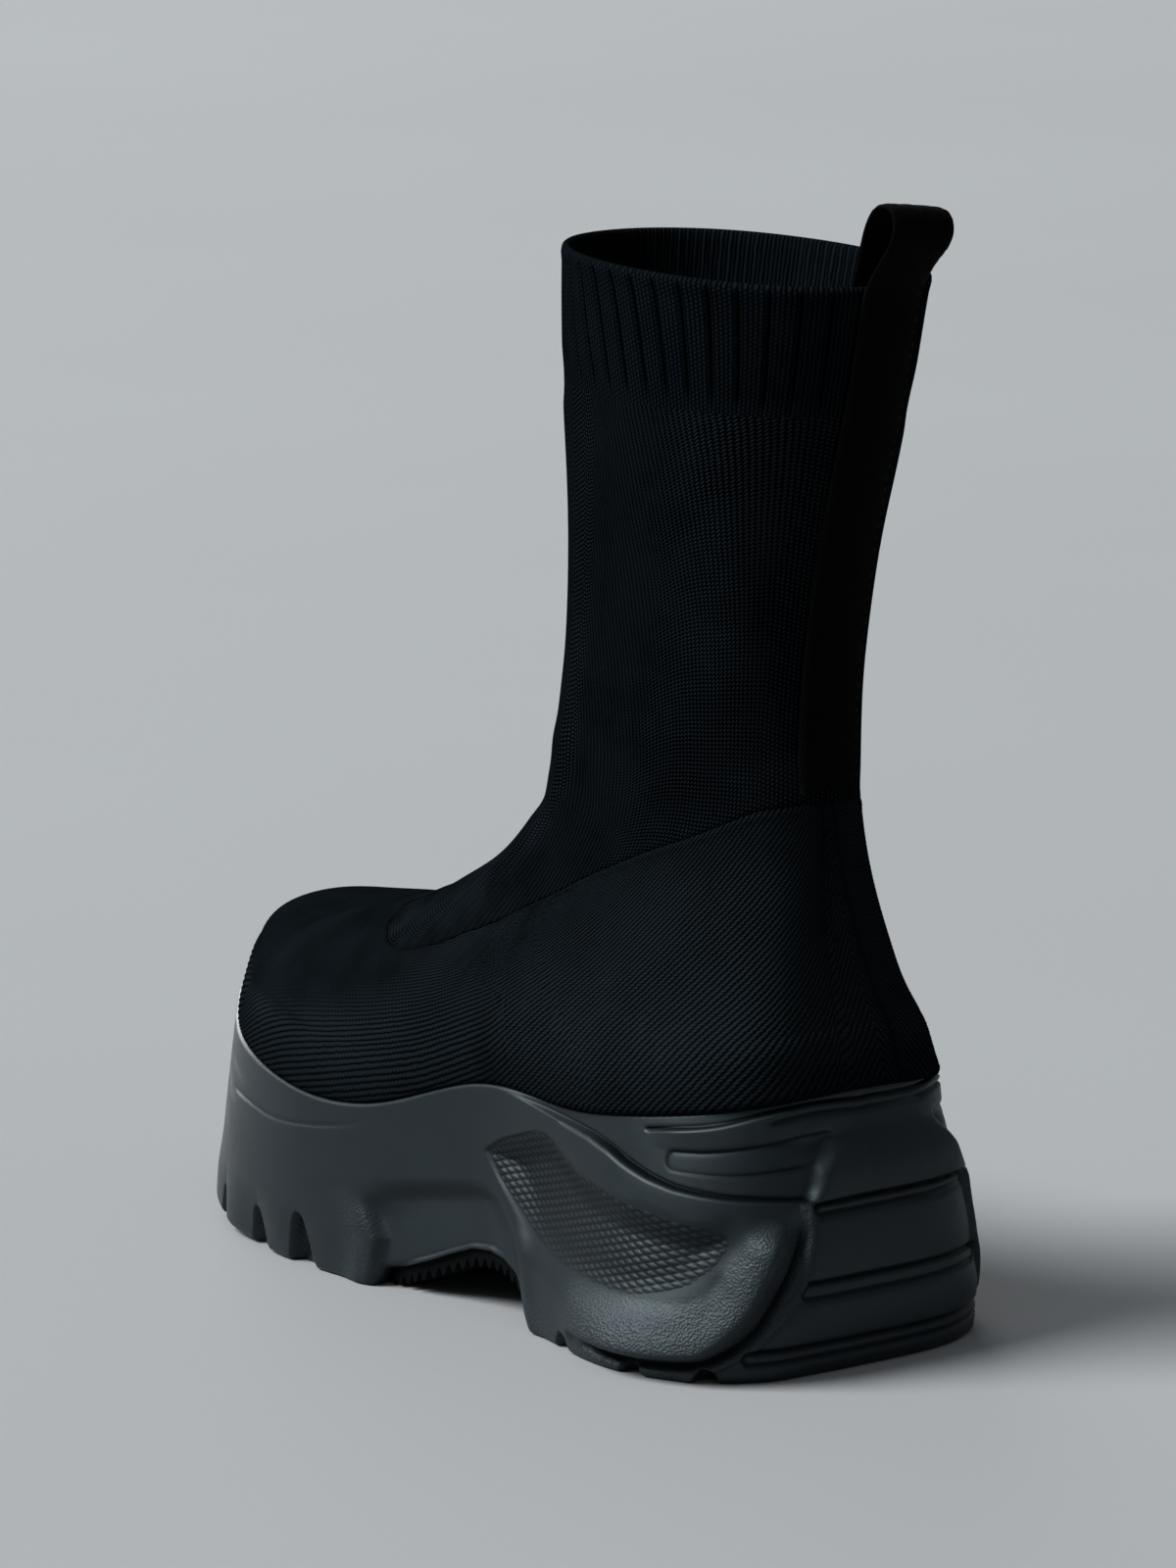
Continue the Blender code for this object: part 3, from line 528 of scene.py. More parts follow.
    # the scoop under the wing
    deep = scoop_depth(s, z)
    soft = np.maximum(1 - ramp(24, 37, z), 1 - ramp(40, 54, s))
    out -= 0.85 * ramp(-0.1, 0.9, deep) * (1 - soft) + 2.9 * ramp(-5 * soft, 9 - 2 * soft, deep)

    # the arch: a hollow between the heel's lobe and the front lug
    lobe = read(LOBE_EDGE, z)
    lug = read(LUG_EDGE, z)
    floor_z = np.broadcast_to(bottom, z.shape)
    middle = np.interp(s, (128, 176), (29.0, 21.0))
    top = np.interp(s, (128, 178), (36.0, 27.5))
    rise = np.clip((z - floor_z) / np.maximum(middle - floor_z, 1), 0, 1)
    hollow = 1.9 + 1.3 * ramp(-.1, 1.2, rise)
    high = ramp(17, 25, z)
    front = (1 - ramp(-3.0, 1.6, s - lug)) * (1 - high) + (1 - ramp(160, 182, s)) * high
    out -= hollow * ramp(-2.0, 14.0, s - lobe) * front * (1 - ramp(0, 1, (z - middle) / (top - middle)))
    out += 0.7 * bell(s - lobe + 3.2, 3.2) * (1 - ramp(20, 32, z))
    out += 1.1 * bell(s - lug - 4.0, 4.4) * (1 - ramp(14, 26, z))

    # forefoot: a fine line under the rim, soft creases, a full lower wall
    d, t = distance(s, z, LINE_FORE)
    out -= 0.55 * bell(d, 0.45) * ramp(0, .15, t) * (1 - ramp(.7, 1, t))
    for start, end, wide, deepness in FORE_CREASES:
        d, t = distance(s, z, np.array([start, end]))
        out -= deepness * bell(d, wide) * np.sin(math.pi * np.clip(t, .02, .98)) ** .5
    out += 1.0 * np.exp(-((s - 215) / 45) ** 4 - ((z - 26) / 14) ** 2)
    for near, far in ((177.0, 202.3), (202.3, 223.6), (223.6, 248.7), (248.7, 277.0)):
        share = np.clip((along - near) / (far - near), 0, 1)
        out += 0.9 * np.sin(math.pi * share) ** .8 * (1 - ramp(8, 18, z - bottom))

    # wedge notches, walls that tuck in towards the floor, and the rounded bottom edge
    up = z - bottom
    out -= 2.2 * (1 - ramp(0, 20, up)) * ramp(172, 190, s) * (1 - ramp(226, 246, s)) + 0.2 * (1 - ramp(0, 9, up)) * (1 - ramp(100, 116, s)) * ramp(16, 30, s)
    out -= 1.4 * (1 - ramp(0, 21, up)) * (1 - ramp(16, 30, s))
    for _place, at, wide, tall, deepness in NOTCHES:
        half = wide * .54 * np.clip(1 - up / tall, 0.0, 1) ** .55 + 0.1
        notch = 1 - ramp(-0.4, 0.9, np.abs(along - at) - half)
        out -= deepness * notch * (1 - ramp(tall - 0.8, tall + 0.3, up))
    round_to = np.interp(along, (0, 22, 40, 60, 104, 114), (3.0, 2.8, 2.4, 2.2, 2.4, 2.2))
    t = np.clip(up / round_to, 0, 1)
    out -= round_to * (1 - np.sqrt(np.clip(1 - (1 - t) ** 2, 0, 1))) * .8

    grain = ramp(.3, 1.2, groove) * (1 - ramp(9, 18, groove)) * np.where(s >= groove_at - 1, 1.0, 0.0) * (1 - ramp(34, 42, z)) * (1 - ramp(86, 108, s))
    lower = ramp(-.4, .8, strip) * (1 - ramp(0, 4, past)) * (1 - ramp(40, 44, z)) * (1 - ramp(60, 90, s))
    grain = np.maximum(grain, lower * ramp(.3, 1.0, groove))
    grain = np.maximum(grain, .9 * bell(s - lug - 6, 7) * (1 - ramp(18, 27, z)))
    grain = np.maximum(grain, .8 * (1 - ramp(6, 11, z)) * ramp(44, 54, s) * (1 - ramp(112, 116, s)))
    return out, np.clip(grain, 0, 1), np.clip(line, 0, 1)


def wall_spots(along, medial, z):
    """Unsculpted sidewall points with their outward directions."""
    shape = along.shape
    def ring(at):
        rows = sole_rows(at.ravel()).reshape(*shape, 6)
        lean = np.clip(z / rows[..., 4], 0, 1) ** lean_power(along)
        return rows[..., 0:2] * (1 - lean)[..., None] + rows[..., 2:4] * lean[..., None]
    at = np.where(medial, SOLE_ROUND - along * MEDIAL_SCALE, along)
    plan = ring(at)
    run = ring(at + 0.4) - ring(at - 0.4)
    run /= np.linalg.norm(run, axis=-1)[..., None]
    return plan, np.stack([-run[..., 1], run[..., 0]], -1)


def wall_limits(along, medial):
    at = np.where(medial, SOLE_ROUND - along * MEDIAL_SCALE, along)
    rows = sole_rows(at)
    bottom = np.maximum(toe_spring(rows[:, 0]), arch_lift(along))
    return rows, bottom


def side_stations(fine, coarse):
    """Distances along one side, close together where the sidewall has detail."""
    notches = np.array([row[1] for row in NOTCHES if row[1] > 180])
    spots = [0.0]
    while spots[-1] < TIP_ALONG:
        s = spots[-1]
        close = s < 140 or 166 < s < 180 or np.abs(notches - s).min() < 5.5
        spots.append(s + (fine if close else coarse))
    spots = np.array(spots)
    return spots * (TIP_ALONG / spots[-1])


WALL_LEVELS = np.concatenate([
    [0, .5, 1.0, 1.6, 2.3, 3.1], np.arange(3.6, 9.11, .5), np.arange(10.0, 18.01, .9),
    np.arange(18.5, 24.51, .5), np.arange(25.4, 38.51, .95), np.arange(39.0, 44.01, .45),
    np.arange(44.8, 50.51, .72), np.arange(50.95, 52.31, .45), np.arange(53.1, 55.91, .75),
    np.arange(56.4, 58.31, .48), np.arange(59.0, 61.21, .8), np.arange(61.64, 65.61, .44),
    [66.3, 67.0, 67.6]])
LEVEL_TOP = 67.6


def wall_heights(along, bottom, rim):
    """Heights of the wall's rows at every column, gathered at the moulded lines."""
    top = rim - 0.9
    wing = read(WING, along)
    slot_low, slot_top, cup = (read(line, along) for line in (SLOT_LOW, SLOT_TOP, CUP_LINE))
    free = ramp(54, 72, along)
    span = top - wing
    slot_low = slot_low * (1 - free) + (wing + .25 * span) * free
    slot_top = slot_top * (1 - free) + (wing + .5 * span) * free
    cup = np.minimum(cup, top - .8) * (1 - free) + (wing + .75 * span) * free
    knots = np.array([0, 3.1, 21.4, 42.6, 51.5, 57.0, 64.0, LEVEL_TOP])
    even = np.linspace(0, 1, len(WALL_LEVELS))
    blend = ramp(98, 140, along)
    z = np.empty((len(WALL_LEVELS), len(along)))
    for c in range(len(along)):
        b = bottom[c]
        heel = np.interp(WALL_LEVELS, knots,
                         [b, b + 3.1, max(21.4, b + 4.0), wing[c], slot_low[c], slot_top[c], cup[c], top[c]])
        z[:, c] = heel * (1 - blend[c]) + (b + (top[c] - b) * even) * blend[c]
    return z


def zip_cap(lateral, lateral_at, medial, medial_at, flip):
    """Triangles across a ring, from its lateral to its medial side."""
    tris = []
    i = j = 0
    while i < len(lateral) - 1 or j < len(medial) - 1:
        step_lateral = j == len(medial) - 1 or (
            i < len(lateral) - 1 and lateral_at[i + 1] <= medial_at[j + 1])
        if step_lateral:
            tri = (lateral[i], lateral[i + 1], medial[j])
            i += 1
        else:
            tri = (lateral[i], medial[j + 1], medial[j])
            j += 1
        if len(set(tri)) == 3:
            tris.append(tri[::-1] if flip else tri)
    return tris


class Columns:
    """Columns round the sole: the lateral side out, the medial side back."""

    def __init__(self, lateral, medial):
        self.along = np.concatenate([lateral, medial[1:-1][::-1]])
        self.medial = np.arange(len(self.along)) >= len(lateral)
        self.count = len(self.along)
        self.rows, self.bottom = wall_limits(self.along, self.medial)
        self.base, self.rim = self.rows[:, 0:2], self.rows[:, 2:4]
        self.rim_z, self.tray_z = self.rows[:, 4], self.rows[:, 5]
        self.ground = toe_spring(self.base[:, 0])
        self.lift = arch_lift(self.along)
        self.at_arch = np.clip((self.lift - 3.0) / 5.0, 0, 1)
        self.skirt = SKIRT_WIDE + (SKIRT_ARCH - SKIRT_WIDE) * self.at_arch
        self.ceiling = np.maximum(self.ground + POCKET_DEPTH, self.lift + ARCH_LIP)
        last = len(lateral) - 1
        self.side_lateral = list(range(len(lateral)))
        self.side_medial = [0] + list(range(self.count - 1, last, -1)) + [last]
        self.at_lateral, self.at_medial = lateral, medial

    def cap(self, ring, flip):
        shift = ring * self.count
        return zip_cap([shift + i for i in self.side_lateral], self.at_lateral,
                       [shift + i for i in self.side_medial], self.at_medial, flip)


def ring_at(plan, z):
    return np.column_stack([plan, np.broadcast_to(z, (len(plan),))])


def build_midsole():
    cols = Columns(side_stations(0.52, 1.3), side_stations(0.72, 1.7))
    z = wall_heights(cols.along, cols.bottom, cols.rim_z)
    along = np.broadcast_to(cols.along, z.shape)
    out, grain, line = sculpt(along, np.broadcast_to(cols.medial, z.shape), z, cols.bottom, cols.rim_z)
    keep = cols.skirt - 0.6
    low = z < cols.ceiling + .4
    out = np.where(low, np.maximum(out, -keep), out)
    lean = np.clip(z / cols.rim_z, 0, 1) ** lean_power(cols.along)
    plan = cols.base * (1 - lean)[..., None] + cols.rim * lean[..., None]
    normal = np.array([outward(p) for p in plan])
    wall = np.concatenate([plan + normal * out[..., None], z[..., None]], 2)

    # rings that close the wall: pocket underneath, rolled lip and tray on top
    pocket = inset(cols.base, cols.skirt)
    foot = wall[0].copy()
    under = np.column_stack([pocket * .55 + foot[:, :2] * .45, foot[:, 2]])
    tray = inset(cols.rim, RIM_THICK - GAP)
    lip_out = out[-1]
    lip = []
    for by, drop in ((0.20, .40), (0.6, .10), (1.2, 0.04), (2.4, .42)):
        lip.append(ring_at(inset(cols.rim, by - lip_out * (1 - by / 4)), cols.rim_z - drop))
    rings = ([ring_at(pocket, cols.ceiling), ring_at(pocket, cols.bottom), under]
             + list(wall) + lip
             + [ring_at(tray, cols.rim_z - 0.6), ring_at(tray, cols.tray_z)])
    count = len(rings)
    points = np.vstack(rings)
    quads = tube_quads(count, cols.count)
    tris = cols.cap(0, False) + cols.cap(count - 1, True)
    shade = np.zeros((count, cols.count))
    shade[3:3 + len(z)] = grain
    worn = np.zeros((count, cols.count))
    worn[3:3 + len(z)] = np.clip(1 - z / 9.0, 0, 1) * .6
    # the line attribute carries the painted shade of the grooves to the rubber
    groove = np.zeros((count, cols.count))
    groove[3:3 + len(z)] = line
    obj = make_mesh("midsole_body", points, quads, tris, {"grain": shade, "worn": worn, "line": groove})
    return obj


def closed_patch(front, back, keep):
    """A thin closed body from two matching grids, only where keep marks the cells."""
    rows, columns = keep.shape[0] + 1, keep.shape[1] + 1
    index = np.arange(rows * columns).reshape(rows, columns)
    a, b, c, d = index[:-1, :-1], index[:-1, 1:], index[1:, 1:], index[1:, :-1]
    cells = np.stack([a, b, c, d], -1)[keep]
    total = rows * columns
    edges = np.concatenate([cells[:, [i, (i + 1) % 4]] for i in range(4)])
    known = set(map(tuple, edges.tolist()))
    border = np.array([e for e in edges.tolist() if (e[1], e[0]) not in known])
    sides = np.column_stack([border[:, 1], border[:, 0], border[:, 0] + total, border[:, 1] + total])
    quads = np.vstack([cells, cells[:, ::-1] + total, sides])
    points = np.vstack([front.reshape(-1, 3), back.reshape(-1, 3)])
    used = np.unique(quads)
    renumber = np.zeros(2 * total, int)
    renumber[used] = np.arange(len(used))
    return points[used], renumber[quads], used


def build_knurl(name, medial):
    """The crossed ridges in the scoop, as a thin skin that dips in at its edge."""
    s = np.arange(38.5, 136.5, 0.31)
    z = np.arange(16.6, 52.0, 0.27)
    along, height = np.meshgrid(s, z)
    side = np.full(along.shape, medial)
    rows, bottom = wall_limits(s, np.full(s.shape, medial))
    out, _grain, _line = sculpt(along, side, height, bottom[None, :], rows[None, :, 4])
    spot = heel_spot(along, side)
    deep = scoop_depth(spot, height)
    # rows rise towards the heel, columns fall towards it, a little steeper at the heel
    row = (height + 0.265 * spot) / 1.85
    column = (height - 0.72 * spot - .0022 * (spot - 118) ** 2) / 2.0
    stud = lambda u: 1 - ramp(.22, .40, np.abs(np.mod(u, 1) - .5))
    ridge = stud(row) * stud(column)
    faint = .45 * ramp(88, 112, spot) * (1 - ramp(22, 34, height))
    open_side = np.maximum(1 - ramp(24, 37, height), 1 - ramp(40, 54, spot))
    amp = 0.19 * (ramp(0.3, 1.4, deep) * (1 - open_side) + ramp(.4, 4.5, deep) * open_side) * (1 - faint)
    sunk = .42 * (1 - open_side) + .26 * open_side
    skin = out - sunk + (sunk + .07) * ramp(0.0, .8 + 2.4 * open_side, deep) + amp * ridge
    plan, normal = wall_spots(along, side, height)
    front = np.concatenate([plan + normal * skin[..., None], height[..., None]], 2)
    back = np.concatenate([plan + normal * (out - 1.6)[..., None], height[..., None]], 2)
    mid = (deep[:-1, :-1] + deep[1:, 1:]) / 2
    points, quads, used = closed_patch(front, back, mid > 0.05)
    if medial:
        quads = quads[:, ::-1]
    # ridge carries painted shade: the grooves between the studs coloured dark, less so where the studs flatten out
    tone = np.concatenate([(1 - (1 - ridge) * amp / .19).ravel(), np.ones(ridge.size)])[used]
    return make_mesh(name, points, quads, (), {"ridge": tone})


def build_outsole():
    """The tread plate: lugs and grooves underneath, a toothed edge at the arch."""
    s = [0.6]
    while s[-1] < TIP_ALONG - 0.6:
        s.append(s[-1] + (0.4 if 110 < s[-1] < 176 else 1.1))
    s = np.array(s)
    s = 0.6 + (s - 0.6) * (TIP_ALONG - 1.2) / (s[-1] - 0.6)
    edge = {}
    for medial in (False, True):
        rows, _bottom = wall_limits(s, np.full(s.shape, medial))
        lift = arch_lift(s)
        arch = np.clip((lift - 3) / 5, 0, 1)
        skirt = SKIRT_WIDE + (SKIRT_ARCH - SKIRT_WIDE) * arch + GAP + .1
        at = np.where(medial, SOLE_ROUND - s * MEDIAL_SCALE, s)
        run = sole_rows(at + .4)[:, :2] - sole_rows(at - .4)[:, :2]
        run /= np.linalg.norm(run, axis=1)[:, None]
        normal = np.stack([-run[:, 1], run[:, 0]], 1)
        edge[medial] = rows[:, :2] - normal * (skirt + 0.3 * arch)[:, None]
    lat, med = edge[False], edge[True]
    # near the ends the two sides meet on the plate's own round end
    across = np.concatenate([np.linspace(-1, -.9, 5)[:-1], np.linspace(-.9, .9, 57), np.linspace(.9, 1, 5)[1:]])
    share = (1 - across) / 2
    plan = lat[:, None] * share[None, :, None] + med[:, None] * (1 - share)[None, :, None]
    x, y = plan[..., 0], plan[..., 1]
    lift = arch_lift(s)
    near = np.minimum(np.minimum(arch_lift(s - SLOPE_CLEAR), arch_lift(s + SLOPE_CLEAR)), lift)
    ground = toe_spring(x)
    top = np.maximum(ground + POCKET_DEPTH, near[:, None] + ARCH_LIP) - GAP
    low = np.maximum(ground, np.minimum(lift[:, None] + ARCH_LIP - GAP - ARCH_PLATE - .9, top - 2.5))
    at_arch = np.clip((lift - 3) / 5, 0, 1)[:, None]
    # chevron grooves under heel and forefoot, one groove down the middle
    middle = (lat[:, 1] + med[:, 1])[:, None] / 2
    zig = 4.0 * np.abs(np.mod((y - middle) / 22.0 + .5, 1) - .5) * 2
    cut = np.zeros_like(x)
    for first, pitch, count in ((141.0, 12.0, 9), (19.0, 14.0, 4)):
        lo, hi = first - 4, first + pitch * (count - 1) + 8
        away = np.abs(np.mod((x - zig - first + pitch / 2) / pitch, 1) - .5) * pitch
        cut = np.maximum(cut, (1 - ramp(1.2, 2.0, away)) * ramp(lo - 2, lo, x) * (1 - ramp(hi, hi + 3, x)))
    away = np.abs(y - middle)
    cut = np.maximum(cut, (1 - ramp(1.4, 2.1, away)) * ramp(24, 30, x) * (1 - ramp(226, 238, x)))
    inner = 1 - ramp(.86, .93, np.abs(across))[None, :]
    low = low + 2.5 * cut * (1 - at_arch) * (inner * .35 + .65)
    # fine pebbling on the lugs
    low = low + 0.10 * (wave_noise(np.stack([x, y, 0 * x], -1), 3.2, 5, 2)) * (1 - at_arch) * (low > .5)
    low = np.where((ground < .01) & (low < .45) & (at_arch < .5), 0.0, low)
    # teeth along the arch's edge
    tooth = np.clip(np.abs(np.mod(s / 3.2, 1) - .5) * 4 - .55, 0, 1)[:, None]
    rim = ramp(.915, .955, np.abs(across))[None, :]
    low = low + 2.3 * tooth * rim * np.clip(at_arch * 1.4, 0, 1)
    low = np.minimum(low, top - .5)
    upper = np.stack([x, y, top], -1)
    lower = np.stack([x, y, low], -1)
    n, m = x.shape
    quads = tube_quads(n, m, closed_columns=False)
    total = n * m
    index = np.arange(total).reshape(n, m)
    loop = np.concatenate([index[0, :], index[1:, -1], index[-1, -2::-1], index[-2:0:-1, 0]])
    nxt = np.roll(loop, -1)
    sides = np.column_stack([loop, nxt, nxt + total, loop + total])
    faces = np.vstack([quads[:, ::-1], quads + total, sides])
    points = np.vstack([upper.reshape(-1, 3), lower.reshape(-1, 3)])
    tread = np.concatenate([np.zeros(total), 1 - cut.ravel()])
    return make_mesh("outsole_tread", points, faces[:, ::-1], (), {"tread": tread}, 38)


def build_insole():
    """A foam sock with a turned edge and a shallow heel seat."""
    cols = Columns(side_stations(1.6, 1.6), side_stations(1.6, 1.6))
    rings = []
    low, high = cols.tray_z + GAP, cols.tray_z + GAP + INSOLE_THICK
    start = RIM_THICK + UPPER_WALL + INSOLE_CLEAR
    thick = high - low
    rings.append(ring_at(inset(cols.rim, start + .8), low))
    for by, up in ((.3, .06), (.05, .2), (0, .45), (.02, .7), (.2, .9), (.6, .98), (1.4, 1.0),
                   (3.5, .985), (6.0, .96), (9.0, .93)):
        rings.append(ring_at(inset(cols.rim, start + by), low + thick * up))
    points = np.vstack(rings)
    tris = cols.cap(0, False)
    # the top goes on as a grid of cross rows so that it can dip
    last = rings[-1]
    lat = last[:len(cols.at_lateral)]
    med = np.vstack([last[:1], last[:len(cols.at_lateral) - 1:-1], last[len(cols.at_lateral) - 1:len(cols.at_lateral)]])
    inner = 21
    grid = []
    for k in range(1, len(lat) - 1):
        t = np.linspace(0, 1, inner + 2)[1:-1]
        row = lat[k] * (1 - t)[:, None] + med[k] * t[:, None]
        wide = np.linalg.norm(lat[k] - med[k])
        dip = np.sin(math.pi * t) * min(1.0, wide / 40)
        row[:, 2] -= dip * (.35 + .75 * math.exp(-((row[0, 0] - 45) / 32) ** 2))
        grid.append(row)
    grid = np.array(grid)
    skip = len(points)
    base = (len(rings) - 1) * cols.count
    points = np.vstack([points, grid.reshape(-1, 3)])
    top = []
    side_lat = [base + i for i in cols.side_lateral]
    side_med = [base + i for i in cols.side_medial]

    def spot(k, i):
        if i == 0:
            return side_lat[k]
        if i == inner + 1:
            return side_med[k]
        return skip + (k - 1) * inner + i - 1

    for k in range(1, len(lat) - 2):
        for i in range(inner + 1):
            top.append((spot(k, i), spot(k, i + 1), spot(k + 1, i + 1), spot(k + 1, i)))
    for k, end in ((1, side_lat[0]), (len(lat) - 2, side_lat[-1])):
        for i in range(inner + 1):
            tri = (spot(k, i), spot(k, i + 1), end)
            tris.append(tri[::-1] if k == 1 else tri)
    quads = np.vstack([tube_quads(len(rings), cols.count), np.array(top)])
    return make_mesh("insole_sock", points, quads, tris, None, 60)


# ---------------------------------------------------------------- the upper's shape
RING_ROWS = np.array([row[1:] for row in RINGS])
RING_STEP = np.linalg.norm(np.diff(RING_ROWS[:, [1, 2, 3]], axis=0), axis=1)
RING_KNOTS = np.append(0, np.cumsum(RING_STEP)) / RING_STEP.sum()


def feather_sides():
    at = np.linspace(0, SOLE_ROUND, 1600, endpoint=False)
    rows = sole_rows(at)
    plan = inset(rows[:, 2:4], RIM_THICK)
    heel, toe = plan[:, 0].argmin(), plan[:, 0].argmax()
    x0, x1 = plan[heel, 0], plan[toe, 0]
    turn = np.arccos(np.clip(2 * (plan[:, 0] - x0) / (x1 - x0) - 1, -1, 1))
    table = np.column_stack([turn, plan[:, 1], rows[:, 4], rows[:, 5]])
    table = np.roll(table, -heel, 0)
    toe = (toe - heel) % len(table)
    lateral, medial = table[:toe + 1], np.vstack([table[toe:], table[:1]])
    return (x0, x1, lateral[np.argsort(lateral[:, 0])], medial[np.argsort(medial[:, 0])])


FEATHER_X0, FEATHER_X1, FEATHER_LAT, FEATHER_MED = feather_sides()


def upper_points(turn, height):
    """Points of the upper's skin; turn 0 is the toe side, + lateral; height 0..1."""
    turn, height = np.broadcast_arrays(turn, height)
    rows = open_spline(RING_KNOTS, RING_ROWS, height.ravel()).reshape(*turn.shape, 10)
    (back_x, back_z, front_x, front_z, half, front_y,
     widest, full, foot, rise) = np.moveaxis(rows, -1, 0)
    turn = np.mod(turn + math.pi, 2 * math.pi) - math.pi
    along = 0.5 + 0.5 * np.cos(turn)
    away = np.where(along > widest, (along - widest) / (1 - widest), (widest - along) / widest)
    swell = np.clip(1 - away ** full, 0, None) ** (1 / full)
    y_oval = front_y * along ** 2 + np.where(turn >= 0, half, -half) * swell
    z_oval = back_z + (front_z - back_z) * along

    def side(column):
        return np.where(turn >= 0,
                        np.interp(np.abs(turn), FEATHER_LAT[:, 0], FEATHER_LAT[:, column]),
                        np.interp(np.abs(turn), FEATHER_MED[:, 0], FEATHER_MED[:, column]))

    foot = np.clip(foot, 0.0, 1.0)
    rim_z, tray_z = side(2), side(3)
    low = np.clip(-rise / 9.0, 0, 1)
    z_foot = (rim_z + np.maximum(rise, 0.0)) * (1 - low) + (tray_z + GAP) * low
    x = back_x + (front_x - back_x) * along
    x_foot = FEATHER_X0 + (FEATHER_X1 - FEATHER_X0) * along
    snug = np.clip((foot - 0.9) / 0.1, 0, 1)
    x = x * (1 - snug) + x_foot * snug
    return np.stack([x, foot * side(1) + (1 - foot) * y_oval,
                     foot * z_foot + (1 - foot) * z_oval], -1)


def rim_height(turn):
    """Height of the sole's rim beside the upper, in mm."""
    turn = np.mod(turn + math.pi, 2 * math.pi) - math.pi
    return np.where(turn >= 0, np.interp(np.abs(turn), FEATHER_LAT[:, 0], FEATHER_LAT[:, 2]),
                    np.interp(np.abs(turn), FEATHER_MED[:, 0], FEATHER_MED[:, 2]))


def seam_height(turn):
    rows = np.array(SEAM)
    return np.interp(np.abs(np.degrees(turn)), rows[:, 0], rows[:, 1])


def even_turns(count, height, start=-math.pi):
    """Turns that step evenly round the upper at a height."""
    fine = np.linspace(start, start + 2 * math.pi, 4001)
    ring = upper_points(fine, np.full(fine.shape, height))
    run = np.append(0, np.cumsum(np.linalg.norm(np.diff(ring, axis=0), axis=1)))
    return np.interp(np.linspace(0, run[-1], count, endpoint=False), run, fine), run[-1]


def fold_push(points, normal, turn, height):
    """How far the soft folds lift the knit."""
    push = np.zeros(turn.shape)
    for _fold, at, up, length, wide, angle, out in FOLDS:
        centre = upper_points(np.array([math.radians(at)]), np.array([up]))[0]
        ahead = upper_points(np.array([math.radians(at) - .02]), np.array([up]))[0] - centre
        above = upper_points(np.array([math.radians(at)]), np.array([up + .01]))[0] - centre
        ahead /= np.linalg.norm(ahead)
        above -= ahead * (above @ ahead)
        above /= np.linalg.norm(above)
        a = math.radians(angle)
        run = ahead * math.cos(a) + above * math.sin(a)
        side = above * math.cos(a) - ahead * math.sin(a)
        delta = points - centre
        push += out * (bell(delta @ run, length) * bell(delta @ side, wide)
                       * ramp(-.2, .5, normal @ np.cross(above, ahead)))
    return push


def shell(name, outer, inner, data, closing=None):
    """A closed tube wall: the outer rows going up, the inner rows coming down."""
    rows = np.concatenate([outer, inner[::-1]])
    count, columns = rows.shape[:2]
    quads = tube_quads(count, columns, closed_rows=True)
    full = {}
    for key, values in data.items():
        tail = np.repeat(values[-1:], len(inner), 0)
        full[key] = np.concatenate([values, tail])
    return make_mesh(name, rows.reshape(-1, 3), quads, (), full, 58)


def ridge_map(turn, points, lift):
    """The vamp's knit: phase across its ridges and along them, in mm."""
    fine = np.linspace(0, math.pi, 1500)
    ring = upper_points(fine, np.full(fine.shape, .11))
    run = np.append(0, np.cumsum(np.linalg.norm(np.diff(ring[:, :2], axis=0), axis=1)))
    middle = np.interp(-100.0, -ring[:, 0], run)
    unrolled = 100.0 + middle - np.interp(np.abs(turn), fine, run)
    qx, qz = RIDGE_TURN[0] - unrolled, RIDGE_TURN[1] - lift
    angle = np.arctan2(qz, qx)
    held = np.clip(angle, RIDGE_HEEL, RIDGE_BEND)
    far = np.hypot(qx, qz)
    bend = math.hypot(RIDGE_TURN[0] - RIDGE_MITRE[0], RIDGE_TURN[1] - RIDGE_MITRE[1])
    at_bend = math.atan2(RIDGE_TURN[1] - RIDGE_MITRE[1], RIDGE_TURN[0] - RIDGE_MITRE[0])
    heel = 1.1 * (far * np.cos(angle - held) - bend * math.cos(at_bend - RIDGE_BEND))
    heel_along = far * np.sin(angle - held) + heel * held
    mx, mz = RIDGE_MITRE[0] - unrolled, RIDGE_MITRE[1] - lift
    fore = mx * math.cos(RIDGE_FORE) + mz * math.sin(RIDGE_FORE)
    fore_along = mx * math.sin(RIDGE_FORE) - mz * math.cos(RIDGE_FORE)
    toe = (mx + 22) * math.cos(RIDGE_TOE) + (mz - 22 / math.tan(RIDGE_FORE)) * math.sin(RIDGE_TOE)
    dive = np.clip(unrolled - 168, 0, 40)
    toe = toe - .006 * dive ** 2
    fore = (fore + toe + np.sqrt((fore - toe) ** 2 + 1.2)) / 2
    across = (heel + fore + np.sqrt((heel - fore) ** 2 + 1.2)) / 2
    share = ramp(-3, 3, heel - fore)
    return across, heel_along * share + fore_along * (1 - share)


